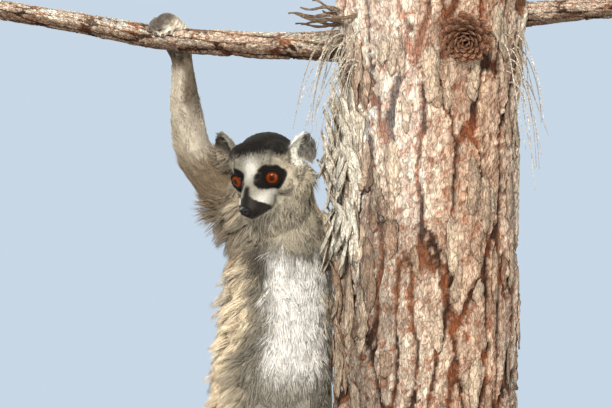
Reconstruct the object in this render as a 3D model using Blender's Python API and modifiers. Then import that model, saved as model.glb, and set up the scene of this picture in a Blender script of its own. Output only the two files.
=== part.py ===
"""Ring-tailed lemur, life size, as a museum model.

It stands upright on a short cut branch, hugs a tree trunk with its left arm and reaches up with its right
hand to hold a higher branch.  The trunk and its branches are the perch; a flat base with two rods carries it.

Frame: metres, +Z up, origin under the middle of the base.  The lemur looks towards -Y, its left side is +X.
The solids are the outline of the coat: round forms fused into one body, then parted by thin flat cuts.
"""

import math

import bmesh
import bpy
import numpy as np
from mathutils import Matrix, Vector

MM = 0.001
GAP = 0.3 * MM                     # between solids that touch
CUT = 0.4 * MM                     # width of a cut between two parts of the body

# Display stand
BASE_SIZE = (0.40, 0.30, 0.018)
BASE_CORNER = 0.045
ROD_RADIUS = 0.007
ROD_SPREAD = 0.034                 # of each rod from the middle of the trunk
PERCH_FOOT = 0.085                 # height of the lower cut of the trunk

# Tree trunk and its branches, as (x, y, z, radius)
TRUNK_X = 0.045
TRUNK_RADIUS = 0.0735
TRUNK_TOP = 0.792
BARK_DEPTH = 0.0038
UPPER_BRANCH = (
    (0.0050, 0.0060, 0.7375, 0.0170),
    (-0.0354, 0.0090, 0.7385, 0.0138),
    (-0.0600, 0.0100, 0.7385, 0.0118),
    (-0.0991, 0.0110, 0.7390, 0.0112),
    (-0.1544, 0.0105, 0.7429, 0.0107),
    (-0.1909, 0.0100, 0.7467, 0.0102),
    (-0.2240, 0.0090, 0.7526, 0.0093),
    (-0.2555, 0.0080, 0.7586, 0.0087),
    (-0.3201, 0.0070, 0.7690, 0.0081),
    (-0.3360, 0.0070, 0.7712, 0.0080),
)
LOWER_BRANCH = (
    (0.0050, 0.0100, 0.1310, 0.0190),
    (-0.0360, 0.0125, 0.1370, 0.0155),
    (-0.0900, 0.0140, 0.1400, 0.0140),
    (-0.1430, 0.0135, 0.1400, 0.0132),
    (-0.1800, 0.0125, 0.1410, 0.0127),
    (-0.2120, 0.0110, 0.1430, 0.0122),
)
STUB = (
    (0.0900, 0.0000, 0.7570, 0.0130),
    (0.1300, -0.0010, 0.7655, 0.0105),
    (0.1700, -0.0020, 0.7690, 0.0093),
    (0.2080, -0.0030, 0.7710, 0.0088),
)

# Head: its own axes start midway between the eyes; sizes along them are (forward, left, up) in millimetres
HEAD_AT = Vector((-0.1043, -0.0150, 0.6239))
HEAD_YAW = math.radians(27.0)      # towards the lemur's right
HEAD_PITCH = math.radians(21.0)    # down
HEAD_ROLL = math.radians(5.5)      # left side up
CRANIUM = ((-28, 0, 2), (32, 32.5, 32))
BROW = ((-12, 0, 6), (14, 25, 15))
CHEEK = ((-19, 22, -11), (17, 12.5, 16))
MUZZLE = ((-8, 0, -7, 17), (5, 0, -11, 13.0), (12.5, 0, -14.5, 11.0), (18.5, 0, -17.4, 9.4), (22, 0, -18.6, 8.4))
RUFF = ((-38, 20, -13), (18, 17, 20))
TEMPLE = ((-20, 14.5, 13), (16, 15.5, 15.5))
LIP = ((5, 9.0, -18.5), (11, 8.5, 8.0))
JAW = ((-22, 0, -17, 15), (-2, 0, -20, 12), (10, 0, -22.6, 8.5), (15.5, 0, -22.8, 7.0))
NOSE = ((26.8, 0, -17.4), (4.4, 5.2, 3.8))
EYE = (-7.0, 15.2, 0.0)
EYE_RADIUS = 8.0 * MM
EARS = {                           # root, tip and the way it opens; the left ear is held lower
    "left": ((-33, 31, 3), (-33, 44.5, 24), (0.80, 0.60, -0.10)),
    "right": ((-33, -33, 10), (-33, -43.5, 37), (0.92, -0.36, 0.0)),
}
EAR_HALF_WIDTH = 14.5
EAR_HALF_DEPTH = 10.0

THROAT = Vector((-0.0850, 0.0150, 0.6110))      # flat cut between head and neck
THROAT_FACING = Vector((0.0, -0.56, 0.83))

# Body and limbs, as (x, y, z, radius) along each
SPINE = (
    (-0.1000, 0.064, 0.338, 0.0360),
    (-0.0985, 0.056, 0.360, 0.0500),
    (-0.0930, 0.050, 0.400, 0.0555),
    (-0.0875, 0.047, 0.440, 0.0560),
    (-0.0850, 0.047, 0.480, 0.0540),
    (-0.0820, 0.047, 0.520, 0.0512),
    (-0.0790, 0.046, 0.553, 0.0480),
    (-0.0785, 0.043, 0.580, 0.0420),
    (-0.0800, 0.034, 0.602, 0.0350),
    (-0.0860, 0.020, 0.623, 0.0300),
)
RIGHT_ARM = (
    (-0.1040, 0.046, 0.574, 0.0300),
    (-0.1180, 0.051, 0.595, 0.0255),
    (-0.1370, 0.058, 0.622, 0.0220),
    (-0.1562, 0.062, 0.648, 0.0192),
    (-0.1617, 0.055, 0.668, 0.0170),
    (-0.1642, 0.048, 0.690, 0.0154),
    (-0.1660, 0.040, 0.713, 0.0122),
    (-0.1665, 0.034, 0.735, 0.0103),
)
LEFT_ARM = (
    (-0.0540, 0.056, 0.578, 0.0290),
    (-0.0340, 0.084, 0.562, 0.0240),
    (-0.0100, 0.111, 0.548, 0.0185),
    (0.0100, 0.109, 0.568, 0.0170),
    (0.0300, 0.101, 0.592, 0.0140),
    (0.0450, 0.094, 0.614, 0.0108),
)
RIGHT_LEG = (
    (-0.1190, 0.048, 0.372, 0.0430),
    (-0.1450, -0.006, 0.322, 0.0330),
    (-0.1600, -0.056, 0.276, 0.0230),
    (-0.1560, -0.020, 0.252, 0.0210),
    (-0.1480, 0.022, 0.222, 0.0160),
    (-0.1430, 0.055, 0.192, 0.0125),
)
LEFT_LEG = (
    (-0.0800, 0.048, 0.372, 0.0400),
    (-0.0790, -0.006, 0.324, 0.0320),
    (-0.0780, -0.058, 0.278, 0.0230),
    (-0.0770, -0.022, 0.253, 0.0210),
    (-0.0755, 0.021, 0.222, 0.0160),
    (-0.0740, 0.055, 0.192, 0.0125),
)
TAIL = (
    (-0.0995, 0.107, 0.333, 0.0228),
    (-0.1050, 0.132, 0.306, 0.0235),
    (-0.1180, 0.146, 0.250, 0.0245),
    (-0.1400, 0.146, 0.180, 0.0255),
    (-0.1720, 0.138, 0.118, 0.0260),
    (-0.2150, 0.124, 0.080, 0.0260),
    (-0.2620, 0.106, 0.076, 0.0255),
    (-0.3000, 0.088, 0.104, 0.0250),
    (-0.3180, 0.074, 0.155, 0.0240),
    (-0.3160, 0.064, 0.212, 0.0225),
    (-0.3000, 0.058, 0.258, 0.0185),
    (-0.2880, 0.055, 0.280, 0.0110),
)
TAIL_ROOT = ((-0.1000, 0.066, 0.356, 0.0300), TAIL[0], TAIL[1])
TAIL_LENGTHS = 6

FINISHES = {                       # base colour, roughness, metallic
    "fur_grey": ((0.36, 0.32, 0.25), 0.9, 0.0),
    "fur_white": ((0.82, 0.79, 0.72), 0.9, 0.0),
    "fur_black": ((0.03, 0.027, 0.025), 0.85, 0.0),
    "bare_skin": ((0.03, 0.028, 0.028), 0.55, 0.0),
    "eye_amber": ((0.42, 0.10, 0.012), 0.15, 0.0),
    "bark": ((0.36, 0.25, 0.17), 0.95, 0.0),
    "stand_paint": ((0.05, 0.05, 0.052), 0.45, 0.0),
    "stand_steel": ((0.55, 0.55, 0.56), 0.35, 1.0),
}
FINISH_OF = {                      # by the start of the node's name; fur_grey where none fits
    "perch": "bark", "stand_base": "stand_paint", "stand_rod": "stand_steel", "eye": "eye_amber",
    "nose": "bare_skin", "ear": "fur_white", "belly": "fur_white", "tail_6": "fur_black",
}


# ---------------------------------------------------------------- basic shapes

def mesh_object(name, verts, faces):
    mesh = bpy.data.meshes.new(name)
    mesh.from_pydata([tuple(map(float, v)) for v in verts], [], [tuple(map(int, f)) for f in faces])
    mesh.update()
    obj = bpy.data.objects.new(name, mesh)
    bpy.context.collection.objects.link(obj)
    return obj


def along(points, steps):
    """A smooth curve through the points, with steps rows from each to the next; radii ride along."""
    pts = np.array(points, float)
    ext = np.vstack([2 * pts[0] - pts[1], pts, 2 * pts[-1] - pts[-2]])
    rows = []
    for i in range(len(pts) - 1):
        a, b, c, d = ext[i:i + 4]
        for t in np.arange(steps) / steps:
            rows.append(0.5 * (2 * b + (c - a) * t + (2 * a - 5 * b + 4 * c - d) * t ** 2
                               + (3 * b - a - 3 * c + d) * t ** 3))
    return np.array(rows + [pts[-1]])


def side_vectors(rows):
    """Two unit vectors across the curve at every row, carried along it without twisting."""
    tangent = np.gradient(rows[:, :3], axis=0)
    tangent /= np.linalg.norm(tangent, axis=1)[:, None]
    u = np.cross(tangent[0], (0.3, 0.2, 0.93))
    sides = []
    for t in tangent:
        u = u - t * np.dot(u, t)
        u /= np.linalg.norm(u)
        sides.append((u.copy(), np.cross(t, u)))
    return sides


def tube(name, rows, sides, relief=None, across=None):
    """Round tube over rows of (x, y, z, radius) with flat ends; relief(angle, row) adds to the radius."""
    angle = np.arange(sides) * 2 * math.pi / sides
    verts = []
    for i, (row, (u, v)) in enumerate(zip(rows, across or side_vectors(rows))):
        radius = row[3] + (relief(angle, i) if relief else 0 * angle)
        verts.extend(row[:3] + radius[:, None] * (np.cos(angle)[:, None] * u + np.sin(angle)[:, None] * v))
    faces = [(i * sides + k, i * sides + (k + 1) % sides, (i + 1) * sides + (k + 1) % sides, (i + 1) * sides + k)
             for i in range(len(rows) - 1) for k in range(sides)]
    faces = [t for a, b, c, d in faces for t in ((a, b, c), (a, c, d))]
    faces.append(tuple(range(sides))[::-1])
    faces.append(tuple((len(rows) - 1) * sides + k for k in range(sides)))
    return mesh_object(name, verts, faces)


def ball(name, centre, radii, turn=None, rings=10, sides=16):
    bpy.ops.mesh.primitive_uv_sphere_add(segments=sides, ring_count=rings, radius=1.0)
    obj = bpy.context.object
    obj.name = name
    place = Matrix.Translation(Vector(centre)) @ (turn or Matrix.Identity(3)).to_4x4()
    obj.data.transform(place @ Matrix.Diagonal((*radii, 1.0)))
    return obj


def limb(points, steps=4):
    """A tube with a ball at each end."""
    rows = along(points, steps)
    ends = [ball("end", r[:3], (r[3],) * 3) for r in (rows[0], rows[-1])]
    return [tube("limb", rows, 16)] + ends


# ---------------------------------------------------------------- fusing, cutting, trimming

def bake(obj):
    """The object's mesh with its modifiers carried out."""
    graph = bpy.context.evaluated_depsgraph_get()
    mesh = bpy.data.meshes.new_from_object(obj.evaluated_get(graph))
    obj.modifiers.clear()
    old, obj.data = obj.data, mesh
    bpy.data.meshes.remove(old)
    return obj


def fuse(name, pieces, voxel, rounds, triangles):
    """One closed skin round all the pieces, smoothed, with about the given number of triangles."""
    joined = bmesh.new()
    for piece in pieces:
        joined.from_mesh(piece.data)
        bpy.data.objects.remove(piece)
    obj = mesh_object(name, [], [])
    joined.to_mesh(obj.data)
    joined.free()
    remesh = obj.modifiers.new("fuse", "REMESH")
    remesh.mode, remesh.voxel_size = "VOXEL", voxel
    smooth = obj.modifiers.new("round", "SMOOTH")
    smooth.factor, smooth.iterations = 0.5, rounds
    bake(obj)
    obj.modifiers.new("all_triangles", "TRIANGULATE")
    bake(obj)
    fewer = obj.modifiers.new("fewer", "DECIMATE")
    fewer.ratio = min(1.0, triangles / len(obj.data.polygons))
    return bake(obj)


def subtract(obj, cutter):
    step = obj.modifiers.new("cut", "BOOLEAN")
    step.operation, step.solver, step.object = "DIFFERENCE", "EXACT", cutter
    bake(obj)
    bpy.data.objects.remove(cutter)
    return obj


def swollen(obj, by):
    """A copy of obj, larger by the given distance along its normals."""
    copy = mesh_object(obj.name + "_swollen", [], [])
    work = bmesh.new()
    work.from_mesh(obj.data)
    work.normal_update()
    for v, n in [(v, v.normal.copy()) for v in work.verts]:
        v.co += n * by
    work.to_mesh(copy.data)
    work.free()
    return copy


def loose_parts(obj, least=12):
    """The separate bodies of a mesh, without crumbs."""
    work = bmesh.new()
    work.from_mesh(obj.data)
    left, parts = set(work.verts), []
    while left:
        seed = left.pop()
        group, edge = {seed}, [seed]
        while edge:
            for e in edge.pop().link_edges:
                for v in e.verts:
                    if v in left:
                        left.discard(v)
                        group.add(v)
                        edge.append(v)
        if len(group) >= least:
            index = {v: i for i, v in enumerate(sorted(group, key=lambda v: v.index))}
            faces = [[index[v] for v in f.verts] for f in work.faces if f.verts[0] in group]
            parts.append(mesh_object("piece", [v.co for v in index], faces))
    work.free()
    return parts


def join(name, parts):
    work = bmesh.new()
    for part in parts:
        work.from_mesh(part.data)
        bpy.data.objects.remove(part)
    obj = mesh_object(name, [], [])
    work.to_mesh(obj.data)
    work.free()
    return obj


def cut_off(obj, name, at, facing, radius):
    """Cuts obj with a thin disc; what lies on the disc's facing side gets the name, the rest keeps its own."""
    facing = Vector(facing).normalized()
    at = Vector(at)
    rest = obj.name
    bpy.ops.mesh.primitive_cylinder_add(vertices=24, radius=radius, depth=CUT)
    disc = bpy.context.object
    disc.data.transform(Matrix.Translation(at) @ facing.to_track_quat("Z", "Y").to_matrix().to_4x4())
    parts = loose_parts(subtract(obj, disc))
    bpy.data.objects.remove(obj)
    far, near = [], []
    for part in parts:
        touching = [v.co for v in part.data.vertices
                    if abs((v.co - at).dot(facing)) < CUT and (v.co - at).length < radius + CUT]
        side = sum((v - at).dot(facing) for v in touching) if touching else -1.0
        (far if side > 0 else near).append(part)
    return join(name, far), join(rest, near)


# ---------------------------------------------------------------- head

def head_axes():
    """Forward, left and up of the head."""
    cy, sy, cp, sp = math.cos(HEAD_YAW), math.sin(HEAD_YAW), math.cos(HEAD_PITCH), math.sin(HEAD_PITCH)
    forward = Vector((-sy * cp, -cy * cp, -sp))
    left = Vector((cy, -sy, 0.0))
    left.rotate(Matrix.Rotation(HEAD_ROLL, 3, forward))
    return forward, left, forward.cross(left)


AXES = head_axes()
HEAD_TURN = Matrix(AXES).transposed()


def on_head(f, l, u):
    return HEAD_AT + HEAD_TURN @ (Vector((f, l, u)) * MM)


def head_ball(spec, side=1, rings=10, sides=16):
    (f, l, u), radii = spec
    return ball("form", on_head(f, side * l, u), [r * MM for r in radii], HEAD_TURN, rings, sides)


def head_limb(points):
    return limb([(*on_head(f, l, u), r * MM) for f, l, u, r in points])


def head_forms():
    pieces = [head_ball(CRANIUM), head_ball(BROW)]
    pieces += [head_ball(form, side) for form in (CHEEK, RUFF, TEMPLE, LIP) for side in (1, -1)]
    return pieces + head_limb(MUZZLE) + head_limb(JAW)


def ear(name, head):
    """A cup open forwards and outwards, on the side of the head."""
    root, tip, opening = EARS[name]
    root, tip, open_to = on_head(*root), on_head(*tip), HEAD_TURN @ Vector(opening)
    rise = (tip - root).normalized()
    open_to = (open_to - rise * open_to.dot(rise)).normalized()
    turn = Matrix((open_to, rise.cross(open_to), rise)).transposed()
    half = (tip - root).length * 0.62
    middle = tip - rise * half
    shell = ball("ear_" + name, middle, (EAR_HALF_DEPTH * MM, EAR_HALF_WIDTH * MM, half), turn, 10, 12)
    hollow = ball("hollow", middle + open_to * 10.5 * MM + rise * 0.5 * MM,
                  (12.5 * MM, 11.0 * MM, half * 0.80), turn, 8, 12)
    subtract(shell, hollow)
    subtract(shell, swollen(head, GAP))
    return largest(shell)


def largest(obj):
    """Only the largest body of a mesh."""
    name = obj.name
    parts = sorted(loose_parts(obj), key=lambda p: -len(p.data.vertices))
    bpy.data.objects.remove(obj)
    for crumb in parts[1:]:
        bpy.data.objects.remove(crumb)
    parts[0].name = name
    return parts[0]


def face(head):
    """Eyes and nose in their sockets, and the ears at the sides."""
    for name, side in (("left", 1), ("right", -1)):
        at = on_head(EYE[0], side * EYE[1], EYE[2])
        subtract(head, ball("socket", at, (EYE_RADIUS + 0.4 * MM,) * 3, HEAD_TURN, 7, 12))
        ear(name, head)
        ball(f"eye_{name}", at, (EYE_RADIUS,) * 3, HEAD_TURN, 7, 12)
    nose = head_ball(NOSE, 1, 6, 10)
    nose.name = "nose"
    subtract(head, swollen(nose, GAP))


# ---------------------------------------------------------------- hands and feet

def right_hand():
    palm = ((-0.1660, 0.0350, 0.7250, 0.0102), (-0.1672, 0.0325, 0.7400, 0.0098),
            (-0.1700, 0.0270, 0.7540, 0.0088), (-0.1745, 0.0155, 0.7610, 0.0070))
    pieces = limb(palm) + limb([(x + 0.0035, y, z, r * 0.9) for x, y, z, r in palm[1:]])
    pieces += limb([(x - 0.0030, y, z - 0.001, r * 0.9) for x, y, z, r in palm[1:]])
    for k, reach in enumerate((0.90, 1.05, 1.0, 0.82)):
        x = -0.1652 - 0.0064 * k
        pieces += limb(((x + 0.0010, 0.0215, 0.7590, 0.0048), (x, 0.0140, 0.7612, 0.0038),
                        (x - 0.0020, 0.0045, 0.7610, 0.0035), (x - 0.0045, -0.0032, 0.7570, 0.0033),
                        (x - 0.0045 - 0.0030 * reach, -0.0052, 0.7570 - 0.0095 * reach, 0.0030)))
    pieces += limb(((-0.1700, 0.0290, 0.7470, 0.0060), (-0.1705, 0.0235, 0.7350, 0.0045),
                    (-0.1700, 0.0140, 0.7300, 0.0038), (-0.1692, 0.0065, 0.7305, 0.0034)))
    return fuse("hand_right", pieces, 1.2 * MM, 2, 340)


def left_hand():
    """The hand lies on the far side of the trunk: each finger bends with the bark."""
    pieces = limb(((0.0380, 0.0965, 0.6040, 0.0108), (0.0500, 0.0925, 0.6220, 0.0100),
                   (0.0600, 0.0895, 0.6360, 0.0090)))
    pieces += limb(((0.0560, 0.0900, 0.6360, 0.0080), (0.0700, 0.0850, 0.6340, 0.0080)))
    tips = ((98, 650), (90, 664), (78, 673), (64, 676))
    for k, (x, z) in enumerate(tips):
        start = Vector((0.0710 - 0.0050 * k, 0.0, 0.6400 + 0.0020 * k))
        points = []
        for t, r in ((0.0, 4.6), (0.5, 3.9), (1.0, 3.4)):
            at = start.lerp(Vector((x * MM, 0.0, z * MM)), t)
            at.y = math.sqrt((0.0775 + r * MM + GAP) ** 2 - (at.x - TRUNK_X) ** 2)
            points.append((*at, r * MM))
        pieces += limb(points)
    pieces += limb(((0.0660, 0.0850, 0.6300, 0.0050), (0.0800, 0.0750, 0.6190, 0.0040),
                    (0.0890, 0.0689, 0.6120, 0.0035)))
    return fuse("hand_left", pieces, 1.5 * MM, 3, 300)


def foot(name, x, side):
    """Foot on the lower branch: heel behind, toes bent over the front, great toe round the back."""
    pieces = limb(((x, 0.0690, 0.1830, 0.0088), (x, 0.0460, 0.1720, 0.0092), (x, 0.0240, 0.1630, 0.0092),
                   (x, 0.0110, 0.1610, 0.0080)))
    pieces += limb(((x, 0.0540, 0.1960, 0.0120), (x, 0.0610, 0.1830, 0.0100)))
    pieces += limb(((x - 0.006, 0.0140, 0.1600, 0.0062), (x + 0.006, 0.0140, 0.1600, 0.0062)))
    for k, reach in enumerate((0.85, 1.0, 1.0, 0.85)):
        dx = (k - 1.5) * 0.0062
        pieces += limb(((x + dx, 0.0100, 0.1600, 0.0050), (x + 1.15 * dx, -0.0010, 0.1575, 0.0043),
                        (x + 1.25 * dx, -0.0075, 0.1500, 0.0038),
                        (x + 1.3 * dx, -0.0080, 0.1500 - 0.0120 * reach, 0.0034)))
    pieces += limb(((x + side * 0.005, 0.0230, 0.1610, 0.0065), (x + side * 0.014, 0.0310, 0.1530, 0.0052),
                    (x + side * 0.018, 0.0320, 0.1410, 0.0045), (x + side * 0.017, 0.0275, 0.1300, 0.0038)))
    return fuse(name, pieces, 1.6 * MM, 3, 300)


# ---------------------------------------------------------------- perch and stand

def bark_relief(angle, row, rows, height):
    """Long upright plates of bark with grooves between them, never deeper than BARK_DEPTH either way."""
    z = row / (rows - 1) * height
    wave = (np.sin(7 * angle + 9.0 * z + 1.3 * math.sin(17 * z))
            + 0.8 * np.sin(11 * angle - 14.0 * z + 0.7)
            + 0.7 * np.sin(4 * angle + 31.0 * z) * math.sin(23 * z + 1.1))
    return BARK_DEPTH * np.tanh(1.1 * wave)


def trunk():
    rows = 21
    path = [(TRUNK_X, 0.0, PERCH_FOOT + (TRUNK_TOP - PERCH_FOOT) * i / (rows - 1),
             TRUNK_RADIUS + 0.0100 * max(0.0, i / (rows - 1) - 0.86) / 0.14) for i in range(rows)]
    height = TRUNK_TOP - PERCH_FOOT
    return tube("perch_trunk", np.array(path), 26, lambda a, i: bark_relief(a, i, rows, height))


def branch(name, points, steps, sides, body):
    rows = along(points, steps)
    bump = lambda a, i: 0.0005 * np.sin(3 * a + 1.7 * i) if 0 < i < len(rows) - 1 else 0 * a
    limb_of_tree = tube(name, rows, sides, bump)
    return largest(subtract(limb_of_tree, swollen(body, GAP)))


def stand():
    bpy.ops.mesh.primitive_cube_add(size=1.0)
    base = bpy.context.object
    base.name = "stand_base"
    base.data.transform(Matrix.Translation((0, 0, BASE_SIZE[2] / 2)) @ Matrix.Diagonal((*BASE_SIZE, 1.0)))
    work = bmesh.new()
    work.from_mesh(base.data)
    upright = [e for e in work.edges if abs(e.verts[0].co.z - e.verts[1].co.z) > 0.01]
    bmesh.ops.bevel(work, geom=upright, offset=BASE_CORNER, segments=7, profile=0.5, affect="EDGES")
    rim = [e for e in work.edges if min(v.co.z for v in e.verts) > BASE_SIZE[2] - 1e-5 and not e.is_wire
           and any(abs(f.normal.z) < 0.5 for f in e.link_faces)]
    bmesh.ops.bevel(work, geom=rim, offset=0.003, segments=2, profile=0.5, affect="EDGES")
    work.to_mesh(base.data)
    work.free()
    for name, dx in (("stand_rod_left", ROD_SPREAD), ("stand_rod_right", -ROD_SPREAD)):
        low, high = BASE_SIZE[2] + 0.1 * MM, PERCH_FOOT - 0.1 * MM
        bpy.ops.mesh.primitive_cylinder_add(vertices=24, radius=ROD_RADIUS, depth=high - low)
        rod = bpy.context.object
        rod.name = name
        rod.data.transform(Matrix.Translation((TRUNK_X + dx, 0.0, (low + high) / 2)))


# ---------------------------------------------------------------- the whole

def tail():
    """The tail in lengths, each a tube with flat ends; the last one ends round."""
    rows = along(TAIL, 2)
    across = side_vectors(rows)
    count = len(rows) - 1
    for k in range(TAIL_LENGTHS):
        first, last = round(k * count / TAIL_LENGTHS), round((k + 1) * count / TAIL_LENGTHS)
        piece, turn = rows[first:last + 1].copy(), across[first:last + 1]
        piece[0, :3] += np.cross(*turn[0]) * CUT
        if k == TAIL_LENGTHS - 1:
            tip = [*(piece[-1, :3] + np.cross(*turn[-1]) * 0.006), piece[-1, 3] * 0.45]
            piece, turn = np.vstack([piece, tip]), turn + [turn[-1]]
        tube(f"tail_{k + 1}", piece, 12, across=turn)


def finish(collection_name):
    """Puts every solid in one collection, with its material and smooth shading."""
    collection = bpy.data.collections.new(collection_name)
    bpy.context.scene.collection.children.link(collection)
    materials = {}
    for name, (colour, roughness, metallic) in FINISHES.items():
        material = materials[name] = bpy.data.materials.new(name)
        material.use_nodes = True
        shader = material.node_tree.nodes["Principled BSDF"]
        shader.inputs["Base Color"].default_value = (*colour, 1.0)
        shader.inputs["Roughness"].default_value = roughness
        shader.inputs["Metallic"].default_value = metallic
    for obj in list(bpy.data.objects):
        for old in obj.users_collection:
            old.objects.unlink(obj)
        collection.objects.link(obj)
        starts = [start for start in FINISH_OF if obj.name.startswith(start)]
        obj.data.materials.clear()
        obj.data.materials.append(materials[FINISH_OF[starts[0]] if starts else "fur_grey"])
        obj.data.shade_smooth()
        obj.data.set_sharp_from_angle(angle=math.radians(50))


def build():
    for start in list(bpy.data.objects):
        bpy.data.objects.remove(start)
    stand()
    wood = trunk()
    upper = branch("perch_branch_upper", UPPER_BRANCH, 2, 12, wood)
    lower = branch("perch_branch_lower", LOWER_BRANCH, 2, 12, wood)
    branch("perch_stub", STUB, 1, 12, wood)

    pieces = limb(SPINE) + limb(RIGHT_ARM) + limb(LEFT_ARM) + limb(RIGHT_LEG) + limb(LEFT_LEG) + limb(TAIL_ROOT)
    body = fuse("body", pieces, 3.0 * MM, 6, 1390)
    arm_right, body = cut_off(body, "upper_arm_right", (-0.1290, 0.0550, 0.6100), (-0.57, 0.21, 0.80), 0.042)
    arm_left, body = cut_off(body, "upper_arm_left", (-0.0300, 0.0885, 0.5600), (0.62, 0.70, -0.36), 0.036)
    above, body = cut_off(body, "above", THROAT, THROAT_FACING, 0.075)
    legs, body = cut_off(body, "thigh_left", (-0.1040, 0.0140, 0.3460), (0.0, -0.77, -0.64), 0.085)
    root = along(TAIL, 2)[:2, :3]
    stump, body = cut_off(body, "stump", root[0], root[1] - root[0], 0.031)
    neck, body = cut_off(body, "neck", (-0.0790, 0.0380, 0.5930), (0.0, -0.35, 0.93), 0.080)
    chest, body = cut_off(body, "chest", (-0.0820, 0.0470, 0.5150), (0.0, 0.0, 1.0), 0.085)
    belly, body = cut_off(body, "belly", (-0.0900, 0.0480, 0.4200), (0.0, 0.0, 1.0), 0.085)
    body.name = "hips"
    leg_right, leg_left = cut_off(legs, "thigh_right", (-0.1060, -0.0300, 0.3000), (-1.0, 0.0, 0.0), 0.150)
    cut_off(arm_right, "forearm_right", (-0.1555, 0.0620, 0.6470), (-0.22, -0.10, 0.97), 0.034)
    cut_off(arm_left, "forearm_left", (-0.0090, 0.1120, 0.5485), (0.86, 0.49, 0.12), 0.034)
    cut_off(leg_right, "shank_right", (-0.1570, -0.0480, 0.2700), (0.0, 0.10, -1.0), 0.050)
    cut_off(leg_left, "shank_left", (-0.0780, -0.0500, 0.2720), (0.0, 0.10, -1.0), 0.050)

    # hands, feet and head are finer forms of their own; each joint is one flat cut through both forms
    head = fuse("head", head_forms() + limb(SPINE[-2:]), 1.9 * MM, 3, 1200)
    joints = (
        (head, "head", THROAT, THROAT_FACING, 0.075, None),
        (right_hand(), "hand_right", (-0.1661, 0.0345, 0.7290), (-0.06, -0.26, 0.96), 0.030, "forearm_right"),
        (left_hand(), "hand_left", (0.0415, 0.0955, 0.6090), (0.52, -0.24, 0.82), 0.030, "forearm_left"),
        (foot("foot_right", -0.1430, 1), "foot_right", (-0.1430, 0.0560, 0.1915), (0.0, 0.62, -0.78), 0.019,
         "shank_right"),
        (foot("foot_left", -0.0740, -1), "foot_left", (-0.0740, 0.0560, 0.1915), (0.0, 0.62, -0.78), 0.019,
         "shank_left"),
    )
    for form, name, at, facing, radius, beside in joints:
        form.name = "form"
        kept, rest = cut_off(form, name, at, facing, radius)
        bpy.data.objects.remove(rest)
        if beside:
            rest, kept = cut_off(bpy.data.objects[beside], "rest", at, facing, radius + 0.004)
            bpy.data.objects.remove(rest)
    for spare in (above, stump):
        bpy.data.objects.remove(spare)

    for hand, tree in (("hand_right", upper), ("foot_right", lower), ("foot_left", lower), ("hand_left", wood)):
        subtract(bpy.data.objects[hand], swollen(tree, GAP))
    face(bpy.data.objects["head"])
    tail()
    finish("ring_tailed_lemur")


build()
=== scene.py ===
"""Ring-tailed lemur on a cut tree trunk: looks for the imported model, with skin, coat, eyes, bark and light.

Everything is in metres in the frame's own axes: +Z up, the lemur faces -Y, its left side is +X.
"""

import math

import bmesh
import bpy
import numpy as np
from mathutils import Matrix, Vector
from mathutils.kdtree import KDTree


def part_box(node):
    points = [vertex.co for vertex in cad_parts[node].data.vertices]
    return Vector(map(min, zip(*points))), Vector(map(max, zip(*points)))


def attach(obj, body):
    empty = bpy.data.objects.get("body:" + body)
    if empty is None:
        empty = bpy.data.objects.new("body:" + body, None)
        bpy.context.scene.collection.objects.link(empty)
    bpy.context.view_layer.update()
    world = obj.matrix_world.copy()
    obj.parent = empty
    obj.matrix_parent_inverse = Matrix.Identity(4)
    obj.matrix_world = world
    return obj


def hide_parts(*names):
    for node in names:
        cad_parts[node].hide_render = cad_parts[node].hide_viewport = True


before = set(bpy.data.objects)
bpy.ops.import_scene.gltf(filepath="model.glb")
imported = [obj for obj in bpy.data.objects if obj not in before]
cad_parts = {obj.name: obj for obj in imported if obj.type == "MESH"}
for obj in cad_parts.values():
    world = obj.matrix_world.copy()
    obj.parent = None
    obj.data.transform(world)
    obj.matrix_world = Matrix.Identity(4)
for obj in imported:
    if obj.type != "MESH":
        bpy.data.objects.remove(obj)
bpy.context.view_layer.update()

MM = 0.001
rng = np.random.default_rng(41)


# ================================================================ small tools

def unit(v):
    """Rows of length 1."""
    return v / np.maximum(np.linalg.norm(v, axis=-1, keepdims=True), 1e-9)


def step(x, low, high):
    """0 below low, 1 above high, a smooth S between; low may be the larger."""
    t = np.clip((x - low) / (high - low), 0, 1)
    return t * t * (3 - 2 * t)


def mix(a, b, t):
    """a where t is 0, b where t is 1; colours take t as a column."""
    return a + (b - a) * t


def waves(p, size, seed=0, rounds=3):
    """Soft noise from -1 to 1: sums of crossed sines of the place, in features about size across."""
    turn = np.random.default_rng(seed)
    total, weight = 0, 0
    for k in range(rounds):
        a, b = turn.normal(size=(2, 3, 3))
        q = p / size * 2 ** k
        layer = np.sin(q @ unit(a) * 3.1 + turn.uniform(0, 6, 3)) * np.sin(q @ unit(b) * 2.3 + turn.uniform(0, 6, 3))
        total = total + layer.sum(1) / 2 ** k
        weight += 1.2 / 2 ** k
    return np.clip(total / weight, -1, 1)


def corners(node):
    """The vertices of a CAD node as rows."""
    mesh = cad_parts[node].data
    flat = np.empty(len(mesh.vertices) * 3)
    mesh.vertices.foreach_get("co", flat)
    return flat.reshape(-1, 3)


def middle(node):
    """Middle of a CAD node's box."""
    low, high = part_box(node)
    return (np.array(low) + np.array(high)) / 2


def joint(a, *others, reach=4 * MM):
    """The middle of the flat cut between node a and its neighbours: the mean of a's corners close to them."""
    pa, pb = corners(a), np.vstack([corners(n) for n in others])
    near = np.array([np.min(np.sum((pb - p) ** 2, 1)) for p in pa]) < reach ** 2
    found = pa[near] if near.any() else pa
    return (found.min(0) + found.max(0)) / 2


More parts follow.
